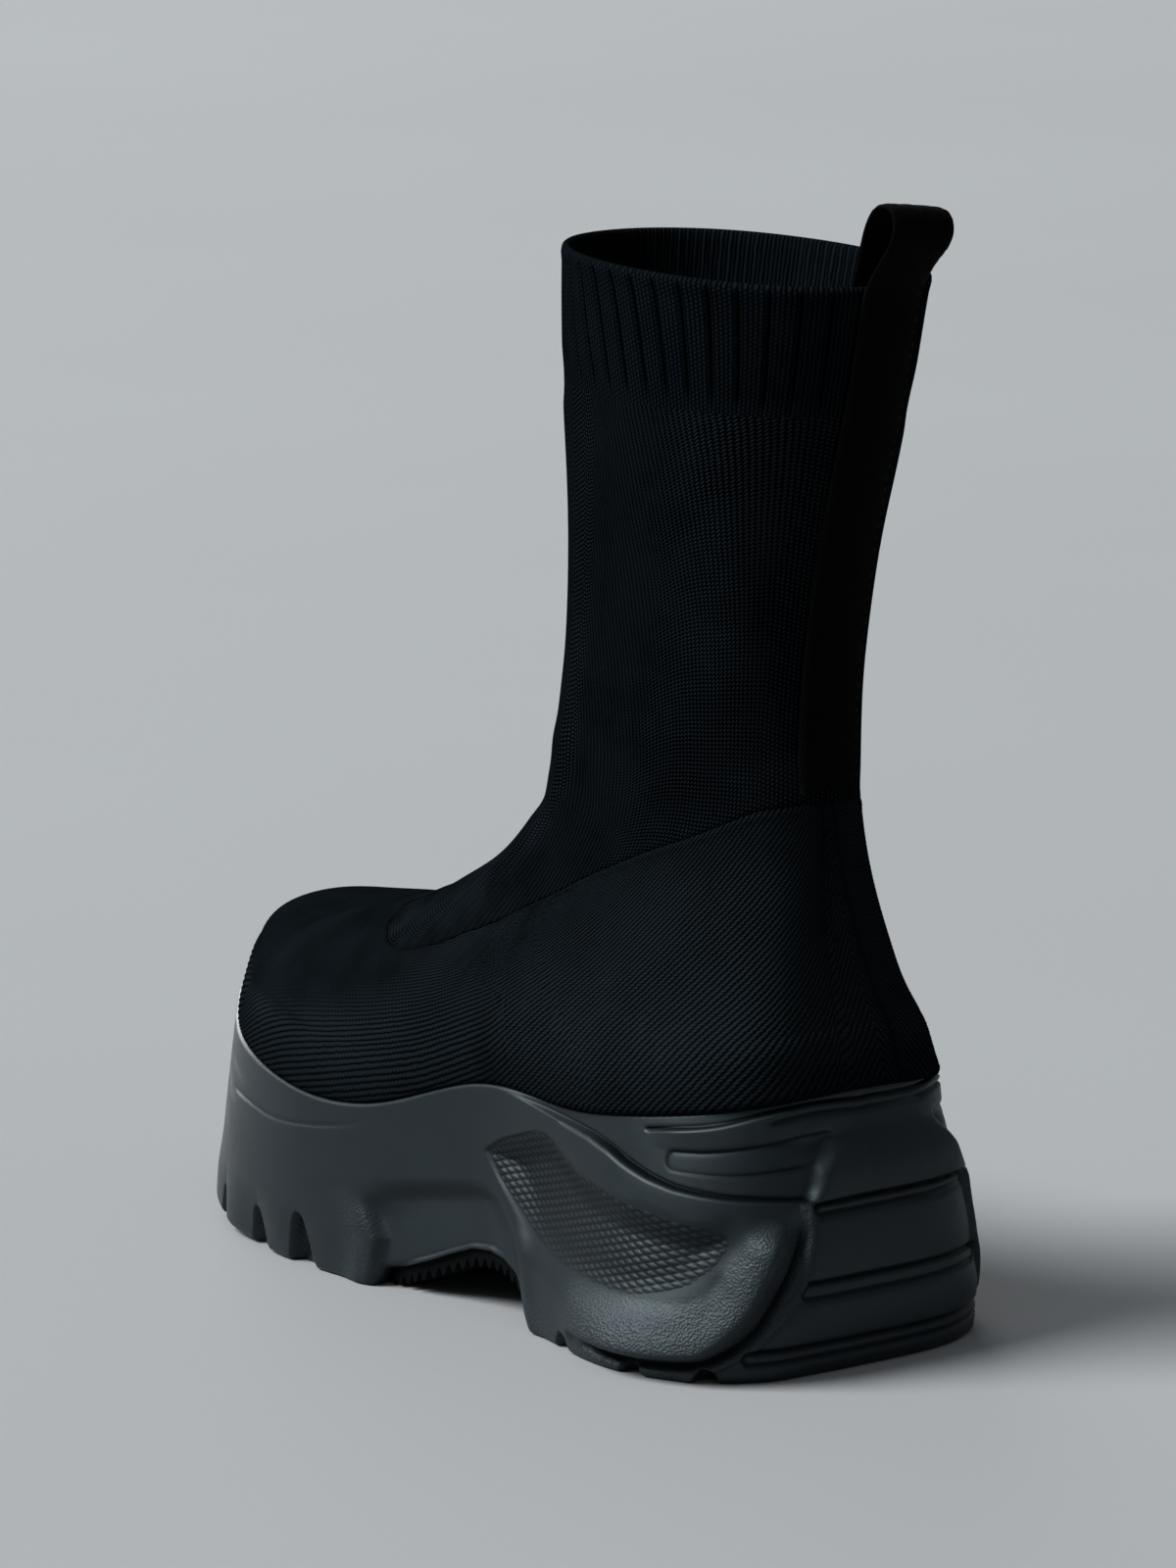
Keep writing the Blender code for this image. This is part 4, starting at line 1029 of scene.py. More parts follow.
def build_vamp():
    columns = 592
    turns, _round = even_turns(columns, .12)
    seam = seam_height(turns)
    share = np.concatenate([np.linspace(0, .1, 4)[:-1], np.linspace(.1, 1, 142)])
    rim = RING_KNOTS[1]
    low = share[:4] / .1 * rim * .96
    height = np.concatenate([np.repeat(low[:3, None], columns, 1),
                             rim * .96 + (seam - rim * .96)[None, :] * np.linspace(0, 1, 142)[:, None]])
    turn = np.broadcast_to(turns, height.shape)
    skin = upper_points(turn, height)
    normal = normals_of(skin)
    steps = np.linalg.norm(np.diff(skin, axis=0), axis=2)
    run = np.concatenate([np.zeros((1, columns)), np.cumsum(steps, 0)])
    rim_z = rim_height(turns)
    at_rim = np.array([np.interp(rim_z[c], skin[:8, c, 2], run[:8, c]) for c in range(columns)])
    rise = run - at_rim
    lift = rim_z + rise
    across, along = ridge_map(turn, skin, lift)
    phase = across / RIDGE_PITCH
    flat = ramp(.06, .40, normal[..., 2]) * ramp(108, 140, skin[..., 0])
    strength = (1 - .93 * flat) * ramp(-.6, .6, rise)
    edge = (seam - height) / seam
    to_seam = run[-1] - run
    full = 4.0 - 0.8 * (1 - ramp(24, 62, np.degrees(np.abs(turn))))
    push = full * ramp(-1.3, 0.4, rise) * np.exp(-np.clip(rise - 1.6, 0, None) / 11.0)
    # the toe is rounded between its front and its top
    front = 1 - ramp(30, 66, np.degrees(np.abs(turn)))
    push += (1.3 * bell(rise - 26, 9) - .7 * bell(rise - 12.5, 4.5)) * front
    push += fold_push(skin, normal, turn, height)
    push += 0.13 * strength * np.cos(2 * math.pi * phase)
    push += 0.28 * wave_noise(skin, 46, 3, 2) * ramp(3, 12, rise)
    shown = .25 + .75 * ramp(50, 60, np.degrees(np.abs(turn)))
    push += (0.12 * bell(to_seam - 1.4, 1.0) - 0.22 * bell(to_seam, .45)) * shown
    outer = skin + normal * push[..., None]
    pick = np.linspace(0, len(skin) - 1, 12).round().astype(int)
    inner = skin[pick] - normal[pick] * (UPPER_WALL - .1)
    inner[0, :, 2] = outer[0, :, 2]
    # fold marks painted shade on the knit's lowest 15 mm, darkest at the sole's rim
    data = {"ridge": phase, "loop": along / 1.15, "knit": strength,
            "fold": 1 - ramp(0, 15, rise), "seam": bell(to_seam, .9) * shown}
    return shell("vamp_knit", outer, inner, data)


def knit_columns(turn, points, ring_turns, ring_run):
    """Wale position in mm, measured round the shaft."""
    return np.interp(turn, ring_turns, ring_run)


def shaft_frame():
    fine = np.linspace(-math.pi, math.pi, 3001)
    ring = upper_points(fine, np.full(fine.shape, .74))
    run = np.append(0, np.cumsum(np.linalg.norm(np.diff(ring, axis=0), axis=1)))
    return fine, run - np.interp(0, fine, run)


SHAFT_TURNS, SHAFT_RUN = shaft_frame()


def shaft_coordinates(turn, points):
    """Wale and course coordinates of the shaft's knit, in mm."""
    up = points[..., 2]
    across = np.interp(turn, SHAFT_TURNS, SHAFT_RUN)
    lean = KNIT_LEAN * np.sin(turn) * np.abs(np.sin(turn)) ** 1.4
    return across + lean * (up - 200.0), up


def rib_coordinates(turn, points):
    """Position across the collar's ribs, in mm: upright at the back, leaning at the sides."""
    across = np.interp(turn, SHAFT_TURNS, SHAFT_RUN)
    lean = np.interp(np.degrees(np.abs(turn)), (0, 40, 70, 100, 120, 145, 180), (0, .2, .26, .2, .1, 0, 0))
    return across + lean * np.sign(turn) * (points[..., 2] - 250.0)


def build_shaft():
    columns, rows = 520, 104
    turns, _round = even_turns(columns, .74)
    seam = seam_height(turns)
    t = np.linspace(0, 1, rows)[:, None]
    height = seam[None, :] * (1 - t) + RIB_FROM * t
    turn = np.broadcast_to(turns, height.shape)
    skin = upper_points(turn, height)
    normal = normals_of(skin)
    steps = np.linalg.norm(np.diff(skin, axis=0), axis=2)
    run = np.concatenate([np.zeros((1, columns)), np.cumsum(steps, 0)])
    to_rib = run[-1] - run
    push = fold_push(skin, normal, turn, height)
    push += 0.45 * wave_noise(skin, 58, 11, 2) * ramp(2, 14, run) * ramp(1, 8, to_rib)
    shown = .25 + .75 * ramp(50, 60, np.degrees(np.abs(turn)))
    push += (-0.22 * bell(run, .45) + 0.08 * bell(run - 1.4, 1.0)) * shown
    outer = skin + normal * push[..., None]
    pick = np.linspace(0, rows - 1, 22).round().astype(int)
    inner = skin[pick] - normal[pick] * UPPER_WALL + normal[pick] * push[pick][..., None] * .8
    across, up = shaft_coordinates(turn, skin)
    smooth = (1 - ramp(76, 100, np.degrees(np.abs(turn)))) * (1 - ramp(100, 136, skin[..., 2]))
    data = {"wale": across / WALE, "course": run / COURSE, "knit": 1 - .92 * smooth, "seam": bell(run, .9) * shown}
    return shell("shaft_knit", outer, inner, data)


def build_collar():
    columns, rows = 1060, 30
    turns, _round = even_turns(columns, .94)
    height = np.repeat(np.linspace(RIB_FROM, 1.0, rows)[:, None], columns, 1)
    turn = np.broadcast_to(turns, height.shape)
    skin = upper_points(turn, height)
    normal = normals_of(skin)
    steps = np.linalg.norm(np.diff(skin, axis=0), axis=2)
    run = np.concatenate([np.zeros((1, columns)), np.cumsum(steps, 0)])
    across = rib_coordinates(turn, skin)
    rib = (.5 - np.abs(np.mod(across / RIB, 1) - .5)) * RIB    # 0 in a groove's middle
    wale = np.cos(2 * math.pi * across / (RIB / 6))
    to_edge = run[-1] - run
    fade = ramp(0, 7.0, run) * ramp(0, 1.6, to_edge)
    relief = (-0.75 * bell(rib, .50) + 0.07 * wale) * fade
    push = relief + 0.25 * bell(to_edge - 1.2, 1.4)
    push += 0.3 * wave_noise(skin, 40, 21, 2) * ramp(1, 10, run)
    push += fold_push(skin, normal, turn, height) * (1 - ramp(2, 14, run))
    outer = skin + normal * push[..., None]
    # a rolled top edge, then the inside
    top = outer[-1]
    n = normal[-1]
    roll = np.array([top - n * by + np.array([0, 0, up]) for by, up in ((.25, .55), (.8, .95), (1.45, .9), (2.0, .5))])
    pick = np.linspace(0, rows - 1, 14).round().astype(int)
    inner = skin[pick] - normal[pick] * (UPPER_WALL - (relief[pick] * .5)[..., None])
    outer = np.concatenate([outer, roll])
    pad = lambda a: np.concatenate([a, np.repeat(a[-1:], 4, 0)])
    # groove marks where painted shade darkens the hollows between the ribs
    data = {"wale": pad(across / (RIB / 6)), "course": pad(run / COURSE), "groove": pad(bell(rib, .6) * fade)}
    return shell("collar_rib", outer, inner, data)


# ---------------------------------------------------------------- heel tape
def back_line(y, heights, out):
    line = []
    turns = np.linspace(math.pi * 0.62, math.pi * 1.38, 121)
    for h in heights:
        ring = upper_points(turns, np.full(turns.shape, h))
        order = np.argsort(ring[:, 1])
        line.append([np.interp(y, ring[order, 1], ring[order, 0]) - out,
                     np.interp(y, ring[order, 1], ring[order, 2])])
    return np.array(line)


def tape_sheets(across):
    """The tape's middle surface: rows across it, a path up the back and over the loop."""
    seam = RING_KNOTS[[row[0] for row in RINGS].index("throat")]
    legs = np.linspace(seam, 1.0, 64)
    loop = np.array([row[1:] for row in LOOP])
    knots = np.append(0, np.cumsum(np.linalg.norm(np.diff(loop, axis=0), axis=1)))
    steps = open_spline(knots, loop, np.linspace(0, knots[-1], 62)[1:-1])
    edge = back_line(0.0, [1.0], 0.0)[0]
    stand = GAP + TAPE_THICK / 2
    sheets = []
    for y in across:
        outer = back_line(y, legs, stand)
        hollow = outer[-1, 0] + stand - edge[0]
        bow = hollow * np.clip(1 - steps[:, 1] / 12.0, 0, 1)
        arch = np.column_stack([edge[0] - steps[:, 0] + bow, edge[1] + steps[:, 1]])
        inside_x = edge[0] + hollow + UPPER_WALL + stand + 0.35
        drop = np.linspace(0, TAPE_INNER_LEG, 14)
        slope = (back_line(y, [0.97], 0)[0] - back_line(y, [1.0], 0)[0])
        inner = np.column_stack([inside_x - drop * slope[0] / slope[1], edge[1] - drop])
        sheets.append(np.vstack([outer[:-1], [[outer[-1, 0], edge[1] - 0.5]], arch, inner]))
    return np.array(sheets)


def build_tape():
    half, middle_y = 9.2, -1.4
    across = np.linspace(-half, half, 27)
    sheets = tape_sheets(across + middle_y)
    # even steps along the path
    path = np.stack([sheets[..., 0], np.broadcast_to(across[:, None] + middle_y, sheets.shape[:2]), sheets[..., 1]], -1)
    path[..., 2] += .12 * across[:, None] * ramp(266, 284, path[..., 2])
    middle = path[len(across) // 2]
    run = np.append(0, np.cumsum(np.linalg.norm(np.diff(middle, axis=0), axis=1)))
    count = 250
    at = np.linspace(0, run[-1], count)
    path = np.array([[np.interp(at, run, row[:, k]) for k in range(3)] for row in path]).transpose(0, 2, 1)
    for _ in range(3):
        path[:, 1:-1] = (path[:, :-2] + 2 * path[:, 1:-1] + path[:, 2:]) / 4
    tangent = np.gradient(path, axis=1)
    tangent /= np.linalg.norm(tangent, axis=2)[..., None]
    side = np.gradient(path, axis=0)
    normal = np.cross(side, tangent)
    normal /= np.linalg.norm(normal, axis=2)[..., None]
    width = across / half
    thin = TAPE_THICK / 2 * (1 - .35 * ramp(.84, 1.0, np.abs(width)))[:, None]
    pile = 0.10 * wave_noise(path, 2.1, 31, 2)
    ends = np.minimum(at, run[-1] - at)
    dome = 0.12 * (1 - width ** 2)[:, None]
    face = path - normal * (thin + pile + dome)[..., None]
    back = path + normal * (thin - .1)[..., None]
    # walk round the section: face one way, back the other, with a soft edge at both sides
    edge_a = (path[:1] + (path[:1] - path[1:2]) / np.linalg.norm(path[:1] - path[1:2], axis=2)[..., None] * .55)
    edge_b = (path[-1:] + (path[-1:] - path[-2:-1]) / np.linalg.norm(path[-1:] - path[-2:-1], axis=2)[..., None] * .55)
    section = np.concatenate([edge_a, face, edge_b, back[::-1]])
    rows = section.transpose(1, 0, 2)
    n, m = rows.shape[:2]
    quads = tube_quads(n, m)
    points = rows.reshape(-1, 3)
    caps = []
    for ring, flip in ((0, False), (n - 1, True)):
        skip = ring * m
        k = len(across)
        for i in range(k - 1):
            quad = (skip + 1 + i, skip + 2 + i, skip + m - 2 - i, skip + m - 1 - i)
            caps.append(quad[::-1] if flip else quad)
        tri_a = (skip, skip + 1, skip + m - 1)
        tri_b = (skip + k, skip + k + 1, skip + k + 2)
        caps.append((tri_a, flip))
        caps.append((tri_b, flip))
    flats = [c for c in caps if len(c) == 4]
    tris = [t[::-1] if flip else t for t, flip in [c for c in caps if len(c) == 2]]
    run_all = np.repeat(at[:, None], m, 1)
    width_all = np.concatenate([[-1], width, [1], width[::-1]])
    data = {"run": run_all, "edge": np.repeat(np.abs(width_all)[None, :], n, 0)}
    return make_mesh("heel_tape_web", points, np.vstack([quads, np.array(flats)]), tris, data), path, normal, at


# ---------------------------------------------------------------- stitches
def stitch_mesh(name, starts, ends, lifts, radius, bow):
    """A row of thread stitches: each a small bowed capsule from start to end."""
    ring, rows = 7, 7
    points, quads, tris = [], [], []
    for a, b, up in zip(starts, ends, lifts):
        run = b - a
        length = np.linalg.norm(run)
        run = run / length
        side = np.cross(run, up)
        side /= np.linalg.norm(side)
        lift = np.cross(side, run)
        skip = len(points)
        for t in np.linspace(0, 1, rows):
            r = radius * math.sqrt(max(1 - (2 * abs(t - .5)) ** 3.0, .04))
            centre = a + run * length * t + lift * (bow * math.sin(math.pi * t) - .25 * radius)
            for k in range(ring):
                angle = 2 * math.pi * k / ring
                points.append(centre + r * (math.cos(angle) * side + math.sin(angle) * lift))
        for row in range(rows - 1):
            for k in range(ring):
                k1 = (k + 1) % ring
                quads.append((skip + row * ring + k, skip + row * ring + k1,
                              skip + (row + 1) * ring + k1, skip + (row + 1) * ring + k))
        for row, flip in ((0, True), (rows - 1, False)):
            centre_index = len(points)
            points.append(np.mean(points[skip + row * ring:skip + (row + 1) * ring], axis=0))
            for k in range(ring):
                tri = (skip + row * ring + k, skip + row * ring + (k + 1) % ring, centre_index)
                tris.append(tri[::-1] if flip else tri)
    return make_mesh(name, np.array(points), quads, tris)


def walk(points, normals, pitch, length):
    """Starts, ends and normals of stitches along a run of points."""
    run = np.append(0, np.cumsum(np.linalg.norm(np.diff(points, axis=0), axis=1)))
    count = int(run[-1] // pitch)
    begin = (np.arange(count) + .5) * run[-1] / count
    pick = lambda at, rows: np.stack([np.interp(at, run, rows[:, k]) for k in range(3)], 1)
    return (pick(begin - length / 2, points), pick(begin + length / 2, points), pick(begin, normals))


def build_seam_stitches():
    sides = []
    for first, last in ((-.955, -.32), (.32, .955)):
        turns = np.linspace(math.pi * first, math.pi * last, 800)
        height = seam_height(turns)
        here = upper_points(turns, height)
        grid = np.array([upper_points(turns, height - .004), here, upper_points(turns, height + .004)])
        normal = normals_of(grid, closed=False)[1]
        lifted = fold_push(here, normal, turns, height)
        sides.append(walk(here + normal * (lifted - .5)[:, None], normal, 2.9, 2.0))
    starts, ends, lifts = (np.vstack(rows) for rows in zip(*sides))
    return stitch_mesh("seam_stitches", starts, ends, lifts, .24, .1)


def build_tape_stitches(path, normal, at):
    starts, ends, lifts = [], [], []
    legs = at < 128
    for j in (1, path.shape[0] - 2):
        line = path[j][legs] - normal[j][legs] * (TAPE_THICK / 2 + .02)
        a, b, n = walk(line, -normal[j][legs], 3.1, 1.9)
        starts.append(a)
        ends.append(b)
        lifts.append(n)
    # the bar tack that closes the loop's foot on the collar's edge
    for up in (117.0, 119.5):
        row = int(np.abs(at - up).argmin())
        line = path[2:-2, row] - normal[2:-2, row] * (TAPE_THICK / 2 + .1)
        a, b, n = walk(line, -normal[2:-2, row], 2.4, 1.7)
        starts.append(a)
        ends.append(b)
        lifts.append(n)
    return stitch_mesh("tape_stitches", np.vstack(starts), np.vstack(ends), np.vstack(lifts), .21, .08)


# ---------------------------------------------------------------- materials
class Nodes:
    """Short hand for building one material's nodes."""

    def __init__(self, name):
        self.material = bpy.data.materials.new(name)
        self.material.use_nodes = True
        self.tree = self.material.node_tree
        self.shader = self.tree.nodes["Principled BSDF"]

    def add(self, kind, **settings):
        node = self.tree.nodes.new(kind)
        for key, value in settings.items():
            setattr(node, key, value)
        return node

    def link(self, a, b):
        self.tree.links.new(a, b)

    def fill(self, socket, value):
        if isinstance(value, bpy.types.NodeSocket):
            self.link(value, socket)
        else:
            socket.default_value = value

    def math(self, operation, a, b=0.0, c=0.0):
        node = self.add("ShaderNodeMath", operation=operation)
        for socket, value in zip(node.inputs, (a, b, c)):
            self.fill(socket, value)
        return node.outputs[0]

    def attribute(self, name):
        return self.add("ShaderNodeAttribute", attribute_name=name).outputs["Fac"]

    def place(self):
        return self.add("ShaderNodeTexCoord").outputs["Object"]

    def noise(self, scale, detail=2.0, rough=.5, place=None):
        node = self.add("ShaderNodeTexNoise")
        self.fill(node.inputs["Vector"], place or self.place())
        node.inputs["Scale"].default_value = scale
        node.inputs["Detail"].default_value = detail
        node.inputs["Roughness"].default_value = rough
        return node.outputs["Fac"]

    def cells(self, scale, smoothness=.6):
        node = self.add("ShaderNodeTexVoronoi", feature="SMOOTH_F1")
        self.fill(node.inputs["Vector"], self.place())
        node.inputs["Scale"].default_value = scale
        node.inputs["Smoothness"].default_value = smoothness
        return node.outputs["Distance"]

    def range(self, value, low, high, to_low, to_high):
        node = self.add("ShaderNodeMapRange")
        for key, v in (("Value", value), ("From Min", low), ("From Max", high),
                       ("To Min", to_low), ("To Max", to_high)):
            self.fill(node.inputs[key], v)
        return node.outputs["Result"]

    def colours(self, value, *stops):
        node = self.add("ShaderNodeValToRGB")
        self.link(value, node.inputs["Fac"])
        ramp_ = node.color_ramp
        while len(ramp_.elements) < len(stops):
            ramp_.elements.new(.5)
        for element, (at, colour) in zip(ramp_.elements, stops):
            element.position = at
            element.color = (*colour, 1)
        return node.outputs["Color"]

    def mix(self, share, a, b):
        node = self.add("ShaderNodeMix", data_type="RGBA")
        self.fill(node.inputs["Factor"], share)
        self.fill(node.inputs["A"] if False else node.inputs[6], a)
        self.fill(node.inputs[7], b)
        return node.outputs[2]

    def bump(self, height, distance_mm, strength=1.0, under=None):
        node = self.add("ShaderNodeBump")
        self.link(height, node.inputs["Height"])
        node.inputs["Distance"].default_value = distance_mm * 0.001
        node.inputs["Strength"].default_value = strength
        if under is not None:
            self.link(under, node.inputs["Normal"])
        return node.outputs["Normal"]

    def finish(self, colour=None, rough=None, normal=None, **constants):
        s = self.shader
        for socket, value in (("Base Color", colour), ("Roughness", rough), ("Normal", normal)):
            if value is not None:
                self.fill(s.inputs[socket], value)
        for key, value in constants.items():
            s.inputs[key.replace("_", " ")].default_value = value
        return self.material


def rubber(name, tone, grainy=True):
    n = Nodes(name)
    cloud = n.noise(38, 4.0, .6)
    fine = n.noise(2600, 2.0, .5)
    speck = n.noise(620, 3.0, .65)
    dust = n.range(n.noise(130, 5.0, .7), .60, .78, 0.0, 1.0)
    base = n.colours(cloud, (.3, tuple(c * .86 for c in tone)), (.7, tuple(c * 1.14 for c in tone)))
    colour = n.mix(n.math("MULTIPLY", dust, .10), base, (*(c * 2.6 for c in tone), 1))
    rough = n.range(n.math("ADD", n.math("MULTIPLY", cloud, .6), n.math("MULTIPLY", speck, .4)),
                    .3, .7, .38, .51)
    normal = n.bump(n.math("ADD", n.math("MULTIPLY", fine, .5), n.math("MULTIPLY", speck, .5)), .035, .8)
    if grainy:
        grain = n.attribute("grain")
        worn = n.attribute("worn")
        cell = n.cells(1500, .35)
        wrinkle = n.math("ADD", n.math("MULTIPLY", cell, 1.3), n.math("MULTIPLY", n.noise(1500, 2, .5), .35))
        height = n.math("MULTIPLY", wrinkle, grain)
        normal = n.bump(height, .15, 1.0, normal)
        # painted light: the grained skin coloured lighter on its raised wrinkles, as if lit
        colour = n.mix(n.math("MULTIPLY", height, .34), colour, (*(c * 2.1 for c in tone), 1))
        scuff = n.math("MULTIPLY", worn, n.range(n.noise(210, 5, .7), .50, .72, 0, .55))
        colour = n.mix(scuff, colour, (*(c * 2.3 for c in tone), 1))
        rough = n.math("ADD", rough, n.math("MULTIPLY", grain, .06))
        # painted shade: the grooves along the line attribute coloured near black, their specular turned down
        line = n.attribute("line")
        colour = n.mix(n.math("MULTIPLY", line, .88), colour, (*(c * .10 for c in tone), 1))
        n.link(n.range(line, 0, 1, .29, .02), n.shader.inputs["Specular IOR Level"])
    return n.finish(colour, rough, normal, Specular_Tint=(.80, .96, 1.0, 1.0))


def tread_rubber(name, tone):
    n = Nodes(name)
    cloud = n.noise(60, 4.0, .6)
    fine = n.noise(1500, 3.0, .6)
    tread = n.attribute("tread")
    base = n.colours(cloud, (.3, tuple(c * .8 for c in tone)), (.7, tuple(c * 1.25 for c in tone)))
    scuff = n.math("MULTIPLY", tread, n.range(n.noise(160, 6, .7), .46, .70, 0, .5))
    colour = n.mix(scuff, base, (*(c * 2.4 for c in tone), 1))
    return n.finish(colour, n.range(cloud, .3, .7, .58, .74), n.bump(fine, .09, .9), Specular_IOR_Level=.05,
                    Specular_Tint=(.80, .96, 1.0, 1.0))


def knurl_rubber(name, tone):
    n = Nodes(name)
    ridge = n.attribute("ridge")
    cloud = n.noise(38, 4.0, .6)
    base = n.colours(cloud, (.3, tuple(c * .84 for c in tone)), (.7, tuple(c * 1.1 for c in tone)))
    # painted shade: dark in the grooves between the studs
    colour = n.mix(ridge, (*(c * .22 for c in tone), 1), base)
    rough = n.range(n.noise(620, 3, .6), .3, .7, .42, .55)
    return n.finish(colour, rough, n.bump(n.noise(2400, 2, .5), .03, .8), Specular_IOR_Level=.24,
                    Specular_Tint=(.80, .96, 1.0, 1.0))


def knit(name, kind, dark, light):
    """Black yarn: loops across (u) and along (v) the knit, with a dull nap."""
    n = Nodes(name)
    if kind == "vamp":
        u, v = n.attribute("ridge"), n.attribute("loop")
        strength = n.attribute("knit")
    elif kind == "shaft":
        u, v = n.attribute("wale"), n.attribute("course")
        strength = n.attribute("knit")
    else:
        u, v = n.attribute("wale"), n.attribute("course")
        strength = None
    wobble = n.math("MULTIPLY", n.math("SUBTRACT", n.noise(420, 2, .5), .5), .35)
    u = n.math("ADD", u, wobble)
    row = n.math("FLOOR", u)
    wave = n.math("ABSOLUTE", n.math("SINE", n.math("MULTIPLY", u, math.pi)))
    shifted = n.math("ADD", v, n.math("MULTIPLY", row, .5))
    loop = n.math("ADD", n.math("MULTIPLY", n.math("SINE", n.math("MULTIPLY", shifted, 2 * math.pi)), .5), .5)
    share = {"vamp": .26, "shaft": .50, "rib": .32}[kind]
    height = n.math("ADD", n.math("MULTIPLY", wave, 1 - share), n.math("MULTIPLY", loop, share))
    fuzz = n.noise(3200, 3, .65)
    patch = n.noise(52, 4, .6)
    relief = height
    if strength is not None:
        low, high = {"vamp": (.22, .38), "shaft": (.47, .63)}[kind]
        relief = n.math("ADD", n.math("MULTIPLY", height, strength),
                        n.math("MULTIPLY", n.math("SUBTRACT", 1.0, strength), n.range(loop, 0, 1, low, high)))
    # colour follows the knit's relief: painted shade in the gaps between the loops, lighter on the loops; patch noise
    # adds random tone
    tone = n.math("ADD", n.math("MULTIPLY", relief, .75), n.math("MULTIPLY", patch, .3))
    first, last = {"vamp": (.20, .92), "shaft": (.46, .76), "rib": (.26, .86)}[kind]
    colour = n.colours(tone, (first, dark), (last, light))
    # painted shade in the hollows between the collar's ribs
    if kind == "rib":
        colour = n.mix(n.math("MULTIPLY", n.attribute("groove"), .8), colour, (*(c * .5 for c in dark), 1))
    # painted shade on the vamp's lowest run, darkest at the sole's rim
    if kind == "vamp":
        colour = n.mix(n.math("MULTIPLY", n.attribute("fold"), .5), colour, (*dark, 1))
    if kind == "shaft" or kind == "vamp":
        colour = n.mix(n.math("MULTIPLY", n.attribute("seam"), .26), colour, (*(c * .6 for c in dark), 1))
    normal = n.bump(relief, {"vamp": .62, "shaft": .60, "rib": .45}[kind], 1.0)
    normal = n.bump(fuzz, .10, .7, normal)
    rough = n.range(fuzz, .3, .7, .80, .95)
    return n.finish(colour, rough, normal, Specular_IOR_Level=0.0)


def pile(name, dark, light):
    n = Nodes(name)
    tuft = n.noise(1300, 4, .7)
    clump = n.noise(330, 3, .6)
    edge = n.range(n.attribute("edge"), .80, .95, 0, 1)
    tone = n.math("ADD", n.math("MULTIPLY", tuft, .6), n.math("MULTIPLY", clump, .4))
    colour = n.mix(n.math("MULTIPLY", edge, .4), n.colours(tone, (.3, dark), (.75, light)), (*(c * 1.6 for c in light), 1))
    normal = n.bump(tone, .7, 1.0)
    return n.finish(colour, n.range(tuft, .3, .7, .86, 1.0), normal,
                    Specular_IOR_Level=.04)


def sock_cloth(name, dark, light):
    n = Nodes(name)
    place = n.place()
    mapping = n.add("ShaderNodeMapping")
    n.link(place, mapping.inputs["Vector"])
    mapping.inputs["Rotation"].default_value = (0, 0, math.radians(45))
    wave = n.add("ShaderNodeTexWave", wave_type="BANDS", bands_direction="X")
    n.link(mapping.outputs[0], wave.inputs["Vector"])
    wave.inputs["Scale"].default_value = 280
    wave.inputs["Distortion"].default_value = 1.5
    other = n.add("ShaderNodeTexWave", wave_type="BANDS", bands_direction="Y")
    n.link(mapping.outputs[0], other.inputs["Vector"])
    other.inputs["Scale"].default_value = 280
    other.inputs["Distortion"].default_value = 1.5
    weave = n.math("MULTIPLY", wave.outputs["Fac"], other.outputs["Fac"])
    tone = n.math("ADD", n.math("MULTIPLY", weave, .6), n.math("MULTIPLY", n.noise(70, 4, .6), .5))
    return n.finish(n.colours(tone, (.15, dark), (.9, light)), n.range(weave, 0, 1, .85, .95),
                    n.bump(weave, .25, .9), Specular_IOR_Level=.2)


def thread(name, dark, light):
    n = Nodes(name)
    twist = n.noise(2200, 2, .6)
    return n.finish(n.colours(twist, (.3, dark), (.7, light)), n.range(twist, .3, .7, .6, .8),
                    n.bump(twist, .12, .9), Specular_IOR_Level=.04)


def pale_floor(name):
    n = Nodes(name)
    cloud = n.noise(2.2, 3, .5)
    fine = n.noise(500, 2, .5)
    colour = n.colours(cloud, (.3, (.262, .270, .277)), (.7, (.269, .278, .284)))
    return n.finish(colour, n.range(fine, .3, .7, .82, .9), n.bump(fine, .02, .3), Specular_IOR_Level=.2)


SOLE_TONE = (.0094, .0129, .0155)
FINISHES = {
    "sole": rubber("sole_rubber", SOLE_TONE),
    "knurl": knurl_rubber("knurl_rubber", SOLE_TONE),
    # painted shade: the tread's rubber set far darker than the sidewall's, for the plate under the boot
    "tread": tread_rubber("tread_rubber", (.0011, .0014, .0017)),
    "vamp": knit("vamp_yarn", "vamp", (.0002, .0003, .0004), (.0112, .0158, .0196)),
    "shaft": knit("shaft_yarn", "shaft", (.0001, .00015, .0002), (.0082, .0114, .0144)),
    "rib": knit("rib_yarn", "rib", (.0001, .00015, .0002), (.0050, .0076, .0100)),
    "pile": pile("tape_pile", (.0002, .0002, .00025), (.0016, .0017, .0019)),
    "sock": sock_cloth("sock_cloth", (.002, .002, .0023), (.008, .0084, .0088)),
    "thread": thread("black_thread", (.0004, .0005, .0006), (.003, .0034, .0038)),
    "tape_thread": thread("tape_thread", (.0001, .00012, .00015), (.0006, .0007, .0008)),
}


def place_piece(obj, finish, slot, *nodes):
    obj.data.materials.append(FINISHES[finish])
    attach(obj, "root")
    if nodes:
        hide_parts(*nodes)
    return obj


